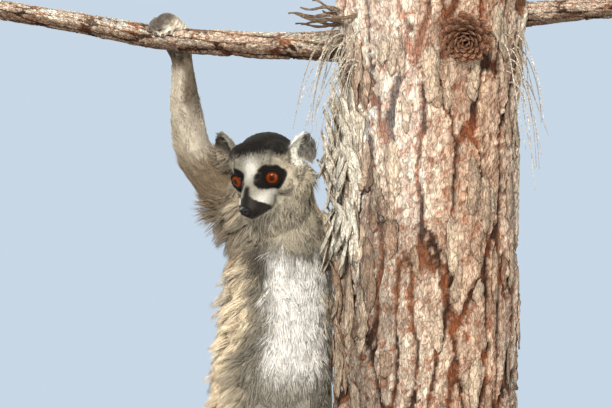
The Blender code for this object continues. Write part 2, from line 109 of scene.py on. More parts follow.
def new_piece(name, verts, faces, smooth=True):
    """A mesh object from rows of points and rows of corner numbers."""
    mesh = bpy.data.meshes.new(name)
    mesh.vertices.add(len(verts))
    mesh.vertices.foreach_set("co", np.asarray(verts, float).ravel())
    faces = [np.asarray(f, int) for f in (faces if isinstance(faces, list) else [faces])]
    sizes = np.concatenate([np.full(len(f), f.shape[1]) for f in faces])
    mesh.loops.add(int(sizes.sum()))
    mesh.loops.foreach_set("vertex_index", np.concatenate([f.ravel() for f in faces]))
    mesh.polygons.add(len(sizes))
    mesh.polygons.foreach_set("loop_start", np.concatenate([[0], np.cumsum(sizes)[:-1]]))
    mesh.update(calc_edges=True)
    mesh.validate()
    if smooth:
        mesh.shade_smooth()
    obj = bpy.data.objects.new(name, mesh)
    bpy.context.scene.collection.objects.link(obj)
    return obj


def grid_faces(rows, cols, wrap=False):
    """Quads of a grid of rows by cols points; wrap joins the last column to the first."""
    c = np.arange(cols if wrap else cols - 1)
    r = np.arange(rows - 1)[:, None]
    a, b = r * cols + c, r * cols + (c + 1) % cols
    return np.stack([a, b, b + cols, a + cols], -1).reshape(-1, 4)


def end_fans(count, cols):
    """Triangles from points count and count + 1 to the first and the last ring of a grid of count points."""
    k = np.arange(cols)
    k1 = (k + 1) % cols
    return [np.stack([np.full(cols, count), k, k1], -1),
            np.stack([np.full(cols, count + 1), count - cols + k1, count - cols + k], -1)]


def rim_of(rows, cols):
    """The numbers of a grid's outer points in order round it."""
    return np.concatenate([np.arange(cols), np.arange(1, rows) * cols + cols - 1,
                           (rows - 1) * cols + np.arange(cols - 2, -1, -1), np.arange(rows - 2, 0, -1) * cols])


def small_ball(start, rows=9, cols=12):
    """Points of a unit ball in rings round the first axis, from the angle start to as far from the other end."""
    lat = np.linspace(start, math.pi - start, rows)[:, None]
    lon = (np.arange(cols) * 2 * math.pi / cols)[None]
    return np.stack([np.cos(lat) + 0 * lon, np.sin(lat) * np.cos(lon), np.sin(lat) * np.sin(lon)], -1).reshape(-1, 3)


def off_angle(turn, degrees):
    """How far the angles lie from one given in degrees, in radians from -pi to pi."""
    return ((turn - math.radians(degrees) + math.pi) % (2 * math.pi)) - math.pi


def read_mesh(obj):
    """Points, normals and triangles of a mesh, with the triangles' areas."""
    mesh = obj.data
    mesh.calc_loop_triangles()
    n, m = len(mesh.vertices), len(mesh.loop_triangles)
    co, no, tri, area = np.empty(n * 3), np.empty(n * 3), np.empty(m * 3, int), np.empty(m)
    mesh.vertices.foreach_get("co", co)
    mesh.vertices.foreach_get("normal", no)
    mesh.loop_triangles.foreach_get("vertices", tri)
    mesh.loop_triangles.foreach_get("area", area)
    return co.reshape(-1, 3), no.reshape(-1, 3), tri.reshape(-1, 3), area


def move_points(obj, co):
    """Gives the mesh's points new places."""
    obj.data.vertices.foreach_set("co", np.asarray(co, float).ravel())
    obj.data.update()


def paint(obj, name, colours):
    """Stores one colour for each point."""
    layer = obj.data.color_attributes.new(name, "FLOAT_COLOR", "POINT")
    rgba = np.ones((len(colours), 4))
    rgba[:, :3] = np.clip(colours, 0, 1)
    layer.data.foreach_set("color", rgba.ravel())


def bake(obj):
    """Carries the modifiers out on the mesh."""
    graph = bpy.context.evaluated_depsgraph_get()
    mesh = bpy.data.meshes.new_from_object(obj.evaluated_get(graph))
    obj.modifiers.clear()
    old, obj.data = obj.data, mesh
    bpy.data.meshes.remove(old)
    return obj


def melt(name, pieces, voxel, rounds):
    """One closed skin round all the pieces: voxel remesh, then smoothing."""
    joined = bmesh.new()
    for piece in pieces:
        joined.from_mesh(piece.data)
        bpy.data.objects.remove(piece)
    obj = bpy.data.objects.new(name, bpy.data.meshes.new(name))
    bpy.context.scene.collection.objects.link(obj)
    joined.to_mesh(obj.data)
    joined.free()
    remesh = obj.modifiers.new("melt", "REMESH")
    remesh.mode, remesh.voxel_size = "VOXEL", voxel
    smooth = obj.modifiers.new("smooth", "SMOOTH")
    smooth.factor, smooth.iterations = 0.5, rounds
    return bake(obj)


def swollen_node(node, by):
    """A merged copy of a CAD node, grown along its normals."""
    work = bmesh.new()
    work.from_mesh(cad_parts[node].data)
    bmesh.ops.remove_doubles(work, verts=work.verts, dist=0.01 * MM)
    work.normal_update()
    obj = bpy.data.objects.new("copy", bpy.data.meshes.new("copy"))
    work.to_mesh(obj.data)
    work.free()
    bpy.context.scene.collection.objects.link(obj)
    co, no, _, _ = read_mesh(obj)
    move_points(obj, co + no * by)
    return obj


def ball(centre, axes, radii, rows=24, cols=32):
    """Ellipsoid: the unit sphere's latitude and longitude, scaled by radii along axes (rows of unit vectors)."""
    lat = np.linspace(0, math.pi, rows)[1:-1, None]
    lon = np.arange(cols) * 2 * math.pi / cols
    p = np.stack([np.sin(lat) * np.cos(lon), np.sin(lat) * np.sin(lon), np.cos(lat) + 0 * lon], -1).reshape(-1, 3)
    p = np.vstack([p, [[0, 0, 1], [0, 0, -1]]])
    n = (rows - 2) * cols
    quads = grid_faces(rows - 2, cols, wrap=True)[:, ::-1]
    return new_piece("form", centre + (p * radii) @ axes, [quads] + end_fans(n, cols))


def rod(path, radii, cols=28):
    """Round rod: a circle of the given radius carried along the path, with a ball at each end."""
    path, radii = np.asarray(path, float), np.asarray(radii, float)
    run = unit(np.gradient(path, axis=0))
    side = unit(np.cross(run, run[0] + (0.31, 0.17, 0.93)))
    other = np.cross(run, side)
    lon = np.arange(cols)[:, None] * 2 * math.pi / cols
    ring = np.cos(lon) * side[:, None] + np.sin(lon) * other[:, None]
    verts = (path[:, None] + ring * radii[:, None, None]).reshape(-1, 3)
    n = len(path) * cols
    verts = np.vstack([verts, path[[0, -1]]])
    k, k1 = np.arange(cols), (np.arange(cols) + 1) % cols
    caps = [np.stack([np.full(cols, n), k1, k], -1), np.stack([np.full(cols, n + 1), n - cols + k, n - cols + k1], -1)]
    body = new_piece("form", verts, [grid_faces(len(path), cols, wrap=True)] + caps)
    return [body] + [ball(path[i], np.eye(3), (radii[i],) * 3) for i in (0, -1)]


def curve_through(points, steps=6):
    """Catmull-Rom curve through rows of numbers."""
    p = np.asarray(points, float)
    p = np.vstack([2 * p[0] - p[1], p, 2 * p[-1] - p[-2]])
    t = (np.arange(steps) / steps)[None, :, None]
    a, b, c, d = (p[i:len(p) - 3 + i][:, None] for i in range(4))
    rows = 0.5 * (2 * b + (c - a) * t + (2 * a - 5 * b + 4 * c - d) * t ** 2 + (3 * b - a - 3 * c + d) * t ** 3)
    return np.vstack([rows.reshape(-1, p.shape[1]), p[-2]])


# ================================================================ skeleton, read from the frame

eye_left, eye_right, nose_at = middle("eye_left"), middle("eye_right"), middle("nose")
EYE_R = (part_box("eye_left")[1][2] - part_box("eye_left")[0][2]) / 2

# The head's own axes.  Its origin is 7 mm in front of the middle of the eyeballs; the nose lies 27 degrees below
# the forward axis, seen from there.
NOSE_DROP = math.atan2(17.4, 33.8)
left = unit(eye_left - eye_right)
to_nose = nose_at - (eye_left + eye_right) / 2
to_nose = unit(to_nose - left * (to_nose @ left))
forward = to_nose * math.cos(NOSE_DROP) + np.cross(to_nose, left) * math.sin(NOSE_DROP)
up = np.cross(forward, left)
HEAD = np.array([forward, left, up])
HEAD_AT = (eye_left + eye_right) / 2 + forward * 7 * MM


def on_head(f, l, u):
    """Place of a point given in millimetres forward, left and up in the head's own axes."""
    return HEAD_AT + np.array([f, l, u]) * MM @ HEAD


def in_head(p):
    """Forward, left and up of points in the head's own axes, in millimetres."""
    return (p - HEAD_AT) @ HEAD.T / MM


def end_of(node, way):
    """The middle of the fifth of the node's corners that lie farthest along way."""
    p = corners(node)
    d = p @ unit(np.array(way, float))
    return p[d > np.quantile(d, 0.82)].mean(0)


def limb_chain(side):
    """Shoulder, elbow, wrist, hip, knee and ankle of one side."""
    shoulder = joint(f"upper_arm_{side}", "chest", "neck")
    elbow = joint(f"upper_arm_{side}", f"forearm_{side}")
    wrist = joint(f"forearm_{side}", f"hand_{side}")
    hip = joint(f"thigh_{side}", "hips")
    knee = joint(f"thigh_{side}", f"shank_{side}")
    ankle = joint(f"shank_{side}", f"foot_{side}")
    return shoulder, elbow, wrist, hip, knee, ankle


TAIL_NODES = [f"tail_{k}" for k in range(1, 7)]
spine = [joint("head", "neck"), joint("neck", "chest"), joint("chest", "belly"), joint("belly", "hips"),
         joint("hips", "tail_1")]
tail = [spine[-1]] + [joint(a, b, reach=2 * MM) for a, b in zip(TAIL_NODES, TAIL_NODES[1:])]
tail_points = corners("tail_6")
tail.append(tail_points[np.argmax(np.linalg.norm(tail_points - tail[-1], axis=1))])
sh_r, el_r, wr_r, hip_r, kn_r, an_r = limb_chain("right")
sh_l, el_l, wr_l, hip_l, kn_l, an_l = limb_chain("left")
hand_top = corners("hand_right")[np.argmax(corners("hand_right")[:, 2])]
tips_r = end_of("hand_right", (-0.3, -1, -0.2))
tips_l = end_of("hand_left", (0.8, 0, 0.6))
toes_r, toes_l = end_of("foot_right", (0, -1, -0.3)), end_of("foot_left", (0, -1, -0.3))
sole_r, sole_l = (mixed * 0.5 for mixed in (an_r + toes_r, an_l + toes_l))

# Bones: region, start, end, and the coat's outer radius round it, from which each point's region is told
BONES = [("torso", spine[0], spine[1], 36), ("torso", spine[1], spine[2], 48), ("torso", spine[2], spine[3], 53),
         ("torso", spine[3], mix(spine[3], spine[4], 0.55), 52)]
for a, b in zip(tail, tail[1:]):
    BONES.append(("tail", a, b, 25))
BONES += [("arm_right", sh_r, el_r, 22), ("arm_right", el_r, wr_r, 15), ("hand_right", wr_r, hand_top, 11),
          ("hand_right", hand_top, tips_r, 7),
          ("arm_left", sh_l, el_l, 22), ("arm_left", el_l, wr_l, 15), ("hand_left", wr_l, tips_l, 11),
          ("leg_right", hip_r, kn_r, 32), ("leg_right", kn_r, an_r, 18), ("foot_right", an_r, sole_r, 11),
          ("foot_right", sole_r, toes_r, 10),
          ("leg_left", hip_l, kn_l, 32), ("leg_left", kn_l, an_l, 18), ("foot_left", an_l, sole_l, 11),
          ("foot_left", sole_l, toes_l, 10),
          ("head", on_head(-4, 0, -2), on_head(-34, 0, 0), 32), ("head", on_head(24, 0, -17), on_head(-4, 0, -2), 12)]
for side, name in ((1, "ear_left"), (-1, "ear_right")):
    low, high = (np.array(p) for p in {1: ((-32, 33, 6), (-33, 42, 22)), -1: ((-32, -34, 15), (-33, -42, 35))}[side])
    BONES.append((name, on_head(*low), on_head(*high), 11))
REGIONS = ["head", "torso", "tail", "arm_right", "arm_left", "hand_right", "hand_left", "leg_right", "leg_left",
           "foot_right", "foot_left", "ear_left", "ear_right"]
BONE_A, BONE_B = np.array([b[1] for b in BONES]), np.array([b[2] for b in BONES])
BONE_R = np.array([b[3] for b in BONES]) * MM
BONE_REGION = np.array([REGIONS.index(b[0]) for b in BONES])


def on_bones(p):
    """For each point: distance to every bone in units of the coat's radius there, and how far along the bone."""
    run = BONE_B - BONE_A
    t = np.clip(np.einsum("pbk,bk->pb", p[:, None] - BONE_A, run) / (run ** 2).sum(1), 0, 1)
    foot = BONE_A + t[..., None] * run
    return np.linalg.norm(p[:, None] - foot, axis=2) / BONE_R, t


def lie_of_bones(closeness):
    """Direction of the hair from the bones alone: their run, blended by closeness."""
    weight = 1 / np.maximum(closeness, 0.05) ** 5
    return unit(weight @ unit(BONE_B - BONE_A))


# ================================================================ wood that the animal holds

# Paths of the branches, as rows of x, y, z and radius in metres
UPPER_BRANCH = np.array([(0.0050, 0.0060, 0.7375, 0.0170), (-0.0354, 0.0090, 0.7385, 0.0138),
                         (-0.0600, 0.0100, 0.7385, 0.0118), (-0.0991, 0.0110, 0.7390, 0.0112),
                         (-0.1544, 0.0105, 0.7429, 0.0107), (-0.1909, 0.0100, 0.7467, 0.0102),
                         (-0.2240, 0.0090, 0.7526, 0.0093), (-0.2555, 0.0080, 0.7586, 0.0087),
                         (-0.3201, 0.0070, 0.7690, 0.0081), (-0.3360, 0.0070, 0.7712, 0.0080)])
LOWER_BRANCH = np.array([(0.0050, 0.0100, 0.1310, 0.0190), (-0.0360, 0.0125, 0.1370, 0.0155),
                         (-0.0900, 0.0140, 0.1400, 0.0140), (-0.1430, 0.0135, 0.1400, 0.0132),
                         (-0.1800, 0.0125, 0.1410, 0.0127), (-0.2120, 0.0110, 0.1430, 0.0122)])
STUB = np.array([(0.0900, 0.0000, 0.7570, 0.0130), (0.1300, -0.0010, 0.7655, 0.0105),
                 (0.1700, -0.0020, 0.7690, 0.0093), (0.2080, -0.0030, 0.7710, 0.0088)])
TRUNK_X = 0.045


def round_branch(x, degrees, radius, path):
    """Middle of a rod of the given radius that lies on a branch: degrees go from the top over the front."""
    order = np.argsort(path[:, 0])
    y, z, thick = (np.interp(x, path[order, 0], path[order, k]) for k in (1, 2, 3))
    a = math.radians(degrees)
    reach = thick + radius + 0.1 * MM
    return x, y - reach * math.sin(a), z + reach * math.cos(a), radius


# ================================================================ hands and feet

def right_hand():
    """Chains of rods: palm behind the branch, a ray and a finger for each of four, and the thumb beneath."""
    flesh = [[(-0.1656, 0.0390, 0.6990, 0.0094), (-0.1658, 0.0365, 0.7150, 0.0092), (-0.1668, 0.0345, 0.7290, 0.0088),
              (-0.1700, 0.0300, 0.7450, 0.0082), (-0.1745, 0.0230, 0.7540, 0.0070)]]
    digits = []
    for k, reach in enumerate((0.88, 1.04, 1.0, 0.84)):
        x = -0.1662 - 0.0057 * k
        turns = (-66, -30, 8, 8 + 38 * reach, 8 + 72 * reach)
        shift = (0.0, -0.0016, -0.0042, -0.0070, -0.0096)
        thick = (0.0043, 0.0036, 0.0033, 0.0030, 0.0025)
        digits.append([round_branch(x + dx, a, r, UPPER_BRANCH) for a, dx, r in zip(turns, shift, thick)])
        flesh.append([(-0.1662 - 0.0012 * k, 0.0345, 0.7300, 0.0062), digits[-1][0]])
    flesh.append([digits[0][0], (-0.1648, 0.0310, 0.7440, 0.0060), (-0.1650, 0.0340, 0.7300, 0.0070)])
    flesh.append([(-0.1690, 0.0140, 0.7520, 0.0080), (-0.1775, 0.0040, 0.7582, 0.0086),
                  (-0.1845, -0.0020, 0.7560, 0.0066)])
    thumb = [(-0.1665, 0.0320, 0.7400, 0.0062)]
    thumb += [round_branch(-0.1670 - 0.0010 * j, a, r, UPPER_BRANCH)
              for j, (a, r) in enumerate(((-100, 0.0041), (-126, 0.0036), (-150, 0.0030)))]
    return flesh, digits + [thumb]


def left_hand():
    """Palm on the far side of the trunk; every finger bends with the bark."""
    flesh = [[(0.0260, 0.0990, 0.5900, 0.0100), (0.0380, 0.0965, 0.6040, 0.0102), (0.0500, 0.0925, 0.6220, 0.0094),
              (0.0600, 0.0895, 0.6360, 0.0084)], [(0.0560, 0.0900, 0.6360, 0.0074), (0.0700, 0.0850, 0.6340, 0.0074)]]
    digits = []
    for k, (x, z) in enumerate(((0.098, 0.650), (0.090, 0.664), (0.078, 0.673), (0.064, 0.676))):
        chain = []
        for t, r in ((0.0, 4.1), (0.3, 3.6), (0.55, 3.5), (0.8, 3.1), (1.0, 2.8)):
            px, pz = mix(0.0710 - 0.0050 * k, x, t), mix(0.6400 + 0.0020 * k, z, t)
            chain.append((px, math.sqrt((0.0768 + r * MM) ** 2 - (px - TRUNK_X) ** 2), pz, r * MM))
        digits.append(chain)
    thumb = [(0.0660, 0.0850, 0.6300, 0.0046), (0.0740, 0.0800, 0.6240, 0.0040), (0.0800, 0.0750, 0.6190, 0.0036),
             (0.0890, 0.0689, 0.6120, 0.0030)]
    return flesh, digits + [thumb]


def foot(x, side):
    """Heel behind the lower branch, four toes bent over its front, the great toe round the back."""
    flesh = [[(x, 0.0690, 0.1830, 0.0082), (x, 0.0460, 0.1720, 0.0086), (x, 0.0240, 0.1630, 0.0086),
              (x, 0.0110, 0.1605, 0.0074)], [(x, 0.0500, 0.2080, 0.0100), (x, 0.0560, 0.1950, 0.0110),
                                            (x, 0.0610, 0.1830, 0.0094)]]
    digits = []
    for k, reach in enumerate((0.85, 1.0, 1.0, 0.85)):
        dx = (k - 1.5) * 0.0066
        turns = (-14, 22, 52, 52 + 34 * reach, 52 + 62 * reach)
        thick = (0.0044, 0.0038, 0.0035, 0.0032, 0.0026)
        digits.append([round_branch(x + dx * (1 + 0.10 * j), a, r, LOWER_BRANCH)
                       for j, (a, r) in enumerate(zip(turns, thick))])
        flesh.append([(x + dx * 0.6, 0.0260, 0.1630, 0.0066), digits[-1][0]])
    great = [(x + side * 0.005, 0.0240, 0.1610, 0.0060)]
    great += [round_branch(x + side * dx, a, r, LOWER_BRANCH)
              for dx, a, r in ((0.013, -58, 0.0050), (0.017, -92, 0.0043), (0.017, -128, 0.0034))]
    return flesh, digits + [great]


PAWS = {"hand_right": right_hand(), "hand_left": left_hand(),
        "foot_right": foot(middle("foot_right")[0], -1), "foot_left": foot(middle("foot_left")[0], 1)}


def paw_forms():
    """Rods along every chain, thicker at each joint of a digit."""
    pieces = []
    for flesh, digits in PAWS.values():
        for chain in flesh:
            rows = curve_through(chain, 5)
            pieces += rod(rows[:, :3], rows[:, 3])
        for chain in digits:
            rows = curve_through(chain, 6)
            swell = 1 + 0.09 * np.cos(np.arange(len(rows)) * math.pi / 6 * 2)
            pieces += rod(rows[:, :3], rows[:, 3] * swell, 20)
    return pieces


# ================================================================ ears

# Root, tip and opening of each ear in the head's axes; the left ear is held lower
EARS = {1: ((-32, 29, 1), (-33, 42.5, 24.5), (0.80, 0.60, -0.10)),
        -1: ((-32, -40.5, 4), (-33, -41, 34), (0.92, -0.36, 0.0))}


def ear_shell(side):
    """Cupped ear: an egg-shaped leaf bent round its own length, given a wall, open forwards and outwards.

    Across the leaf the parameter s runs from one rim to the other, up it t runs from root to tip.  Width follows
    the root of a sine, depth a parabola in s, and the rim rolls in a little.
    """
    root, tip, out = (np.array(p, float) for p in EARS[side])
    rise = unit(tip - root)
    height = np.linalg.norm(tip - root)
    out = unit(out - rise * (out @ rise))
    across = np.cross(rise, out) * side
    s = np.linspace(-1, 1, 33)[None]
    t = np.linspace(0, 1, 29)[:, None]
    half = 13.0 * np.sqrt(np.clip(np.sin(math.pi * (0.27 + 0.73 * t)), 0, 1)) * (1 - 0.08 * t)
    depth = -8.5 * (1 - np.abs(s) ** 2.2) * np.sin(math.pi * (0.30 + 0.62 * t)) + 0.8 * step(np.abs(s), 0.8, 1.0)
    place = root + rise * (t * height)[..., None] + across * (half * s)[..., None] + out * depth[..., None]
    inner = place.reshape(-1, 3)
    wall = 2.4 + 1.4 * (1 - t) + 0 * s
    outer = inner - out * wall.reshape(-1, 1)
    n, rows, cols = len(inner), 29, 33
    quads = grid_faces(rows, cols)
    rim = rim_of(rows, cols)
    nxt = np.roll(rim, -1)
    wall_quads = np.stack([rim, rim + n, nxt + n, nxt], -1)
    both = [quads, quads[:, ::-1] + n, wall_quads]
    if side > 0:
        both = [f[:, ::-1] for f in both]
    verts = HEAD_AT + np.vstack([inner, outer]) * MM @ HEAD
    piece = new_piece("form", verts, both)
    work = bmesh.new()
    work.from_mesh(piece.data)
    bmesh.ops.recalc_face_normals(work, faces=work.faces)
    work.to_mesh(piece.data)
    work.free()
    return piece


# ================================================================ skin

def head_forms():
    """Bare head: brain case, brows, cheekbones, muzzle, lip pads and jaw, in the head's axes in millimetres."""
    egg = [((-28, 0, 1.5), (29.8, 30.0, 30.0)), ((-11, 0, 5), (12.5, 20, 13)), ((-10, 12, 9), (9, 9.5, 7)),
           ((-10, -12, 9), (9, 9.5, 7)), ((-17, 18.5, -9), (12, 9.5, 10.5)), ((-17, -18.5, -9), (12, 9.5, 10.5)),
           ((-27, 19, -5), (17, 13, 19)), ((-27, -19, -5), (17, 13, 19)), ((-36, 18, -13), (16, 14, 17)),
           ((-36, -18, -13), (16, 14, 17)), ((13, 5.6, -19.8), (8.5, 6.0, 5.4)), ((13, -5.6, -19.8), (8.5, 6.0, 5.4)),
           ((4, 8.8, -18.5), (10.5, 7.4, 7.2)), ((4, -8.8, -18.5), (10.5, 7.4, 7.2)),
           ((-20, 14.5, 13), (14.5, 13.8, 14.0)), ((-20, -14.5, 13), (14.5, 13.8, 14.0))]
    pieces = [ball(on_head(*c), HEAD, np.array(r) * MM) for c, r in egg]
    for chain in (((-6, 0, 0, 11.5), (5, 0, -6.5, 9.8), (13.5, 0, -12.5, 8.2), (21.5, 0, -17.0, 6.4)),
                  ((-8, 0, -9, 15.0), (5, 0, -13, 11.8), (12.5, 0, -16.2, 9.8), (19.5, 0, -18.6, 7.4)),
                  ((-20, 0, -17, 12.5), (-3, 0, -20, 10.5), (9, 0, -23.4, 7.2), (15, 0, -24.0, 5.4))):
        rows = curve_through(chain)
        pieces += rod(HEAD_AT + rows[:, :3] * MM @ HEAD, rows[:, 3] * MM)
    neck = curve_through([(*on_head(-32, 0, -9), 25 * MM), (*mix(on_head(-32, 0, -16), spine[0], 0.6), 28.5 * MM),
                          (*mix(spine[0], spine[1], 0.5), 31 * MM), (*spine[1], 31 * MM)])
    return pieces + rod(neck[:, :3], neck[:, 3])


BODY_NODES = ["neck", "chest", "belly", "hips", "upper_arm_right", "upper_arm_left", "forearm_right",
              "forearm_left", "thigh_right", "thigh_left", "shank_right", "shank_left"] + TAIL_NODES
PAW_NODES = ["hand_right", "hand_left", "foot_right", "foot_left"]
# How far the skin lies under the outline of the coat, in millimetres, and how long its hair is
DEPTH = {"head": 2.5, "torso": 8.5, "tail": 11.5, "arm_right": 3.0, "arm_left": 3.4, "hand_right": 0.8,
         "hand_left": 0.8, "leg_right": 5.5, "leg_left": 5.5, "foot_right": 0.8, "foot_left": 0.8,
         "ear_left": 0.8, "ear_right": 0.8}


def region_of(p):
    """For each point: the number of its region, and its closeness to every bone as on_bones gives it."""
    closeness = np.vstack([on_bones(part)[0] for part in np.array_split(p, len(p) // 20000 + 1)])
    return BONE_REGION[np.argmin(closeness, 1)], closeness


def coat_depth(closeness):
    """Depth of the coat at the points of closeness, blended between the bones' own depths."""
    own = np.array([DEPTH[REGIONS[r]] for r in BONE_REGION])
    # forearms and shanks carry shorter hair than upper arms and thighs
    thin = np.array([0.7 if b[3] in (15, 18) else 1.0 for b in BONES])
    weight = 1 / np.maximum(closeness, 0.05) ** 6
    return (weight @ (own * thin)) / weight.sum(1) * MM


def eye_frame(side):
    """Eyeball's middle and its own axes: gaze, outward and up."""
    at = eye_left if side > 0 else eye_right
    spread = math.radians(20)
    gaze = forward * math.cos(spread) + left * side * math.sin(spread)
    out = left * side * math.cos(spread) - forward * math.sin(spread)
    return at, gaze, out, up


def lids(co):
    """Draws the skin round each eyeball: behind it inside the almond of the lids, just over it outside.

    A point's distance from the eyeball's middle depends on its angle from the gaze: short inside the lids' edge, the
    eyeball's radius and a lid's thickness at the edge, and back to the skin's own place 40 degrees out.  Skin that
    lies far in front of the eyeball, such as the bridge of the muzzle, stays where it is.
    """
    for side in (1, -1):
        at, gaze, out, high = eye_frame(side)
        rel = co - at
        dist = np.linalg.norm(rel, axis=1)
        angle = np.degrees(np.arccos(np.clip(unit(rel) @ gaze, -1, 1)))
        turn = np.arctan2(rel @ high, rel @ out)
        edge = 42 + 5.0 * np.cos(turn) ** 2 - 5.0 * np.sin(turn) ** 2 + np.where(np.sin(turn) < 0, -2.5, 0)
        over = EYE_R + 0.8 * MM
        fold = over + 0.9 * MM * np.exp(-((angle - edge - 9) / 5.0) ** 2)
        keep = step(angle, edge + 6, edge + 40)
        wanted = mix(fold, np.maximum(dist, over), keep)
        wanted = np.where(angle < edge, EYE_R - 2.0 * MM, wanted)
        wanted = mix(dist, wanted, step(dist, EYE_R * 2.1, EYE_R * 1.4))
        co = np.where((angle < edge + 48)[:, None], at + unit(rel) * wanted[:, None], co)
    return co


MOUTH = np.array([[24.5, 0, -23.2], [18, 7.0, -23.6], [11, 11.0, -23.6], [2.5, 15.6, -23.2]])


def mouth_distance(h):
    """Distance in millimetres from the line of the mouth, which is the same on both sides."""
    q = h * (1, 0, 1) + np.abs(h) * (0, 1, 0)
    best = np.full(len(h), 99.0)
    for a, b in zip(MOUTH, MOUTH[1:]):
        t = np.clip((q - a) @ (b - a) / ((b - a) @ (b - a)), 0, 1)
        best = np.minimum(best, np.linalg.norm(q - a - t[:, None] * (b - a), axis=1))
    return best


def finer_near_face(obj, radius):
    """Halves the edges of the skin in front of the head."""
    centre = Vector(on_head(4, 0, -6))
    work = bmesh.new()
    work.from_mesh(obj.data)
    near = [e for e in work.edges if all((v.co - centre).length < radius for v in e.verts)]
    bmesh.ops.subdivide_edges(work, edges=near, cuts=1, use_grid_fill=True, smooth=0.0)
    bmesh.ops.triangulate(work, faces=[f for f in work.faces if len(f.verts) > 4])
    work.to_mesh(obj.data)
    work.free()


BROAD = ["torso", "tail", "arm_right", "arm_left", "leg_right", "leg_left"]


def lighten(obj):
    """Larger triangles on the broad parts of the body; the head, ears, hands and feet keep theirs."""
    co = read_mesh(obj)[0]
    broad = np.isin(np.array(REGIONS)[region_of(co)[0]], BROAD)
    group = obj.vertex_groups.new(name="broad")
    group.add([int(i) for i in np.flatnonzero(broad)], 1.0, "REPLACE")
    fewer = obj.modifiers.new("fewer", "DECIMATE")
    fewer.ratio, fewer.vertex_group, fewer.vertex_group_factor = 0.26, "broad", 1.0
    bake(obj)


def make_skin():
    """Body grown from the solids and sunk by the coat's depth, with the head, ears, hands and feet built on it."""
    body = melt("body", [swollen_node(n, 0.35 * MM) for n in BODY_NODES], 1.6 * MM, 8)
    co, no, _, _ = read_mesh(body)
    move_points(body, co - no * coat_depth(region_of(co)[1])[:, None])
    skin = melt("skin", [body, ear_shell(1), ear_shell(-1)] + head_forms() + paw_forms(), 1.15 * MM, 3)
    finer_near_face(skin, 36 * MM)
    lighten(skin)
    co, no, _, _ = read_mesh(skin)
    h = in_head(co)
    near_mouth = np.exp(-(mouth_distance(h) / 1.0) ** 2) * (h[:, 0] > 0)
    co = lids(co - no * (near_mouth * 1.1 * MM)[:, None])
    move_points(skin, co)
    return skin


skin = make_skin()
SKIN, NORMAL, TRIS, AREA = read_mesh(skin)


# ================================================================ markings and lie of the coat

WHITE, CREAM, PALE = (0.53, 0.505, 0.45), (0.29, 0.26, 0.195), (0.205, 0.19, 0.148)
GREY, BUFF = (0.27, 0.245, 0.19), (0.88, 0.755, 0.56)
BLACK, MUZZLE = (0.0065, 0.0055, 0.005), (0.013, 0.011, 0.0095)
# the wrist's colour is its dark skin together with the painted shadow of the branch above it
SKIN_DARK, WRIST_SKIN_AND_SHADOW = (0.045, 0.036, 0.031), (0.06, 0.04, 0.025)
BELLY_WAY = unit(np.array([0.36, -0.93, 0.0]))       # the way the breast and belly face
BELLY_SIDE = np.array([-BELLY_WAY[1], BELLY_WAY[0], 0])     # towards the lemur's left
SPINE = np.array(spine)[::-1]


def tint(base, colour, amount):
    """Rows of base, each drawn towards one colour by its own amount from 0 to 1."""
    return mix(base, np.array(colour), np.clip(amount, 0, 1)[:, None])


def spine_at(z):
    """Middle of the trunk of the body at a height."""
    order = np.argsort(SPINE[:, 2])
    return np.stack([np.interp(z, SPINE[order, 2], SPINE[order, k]) for k in (0, 1)] + [z], -1)


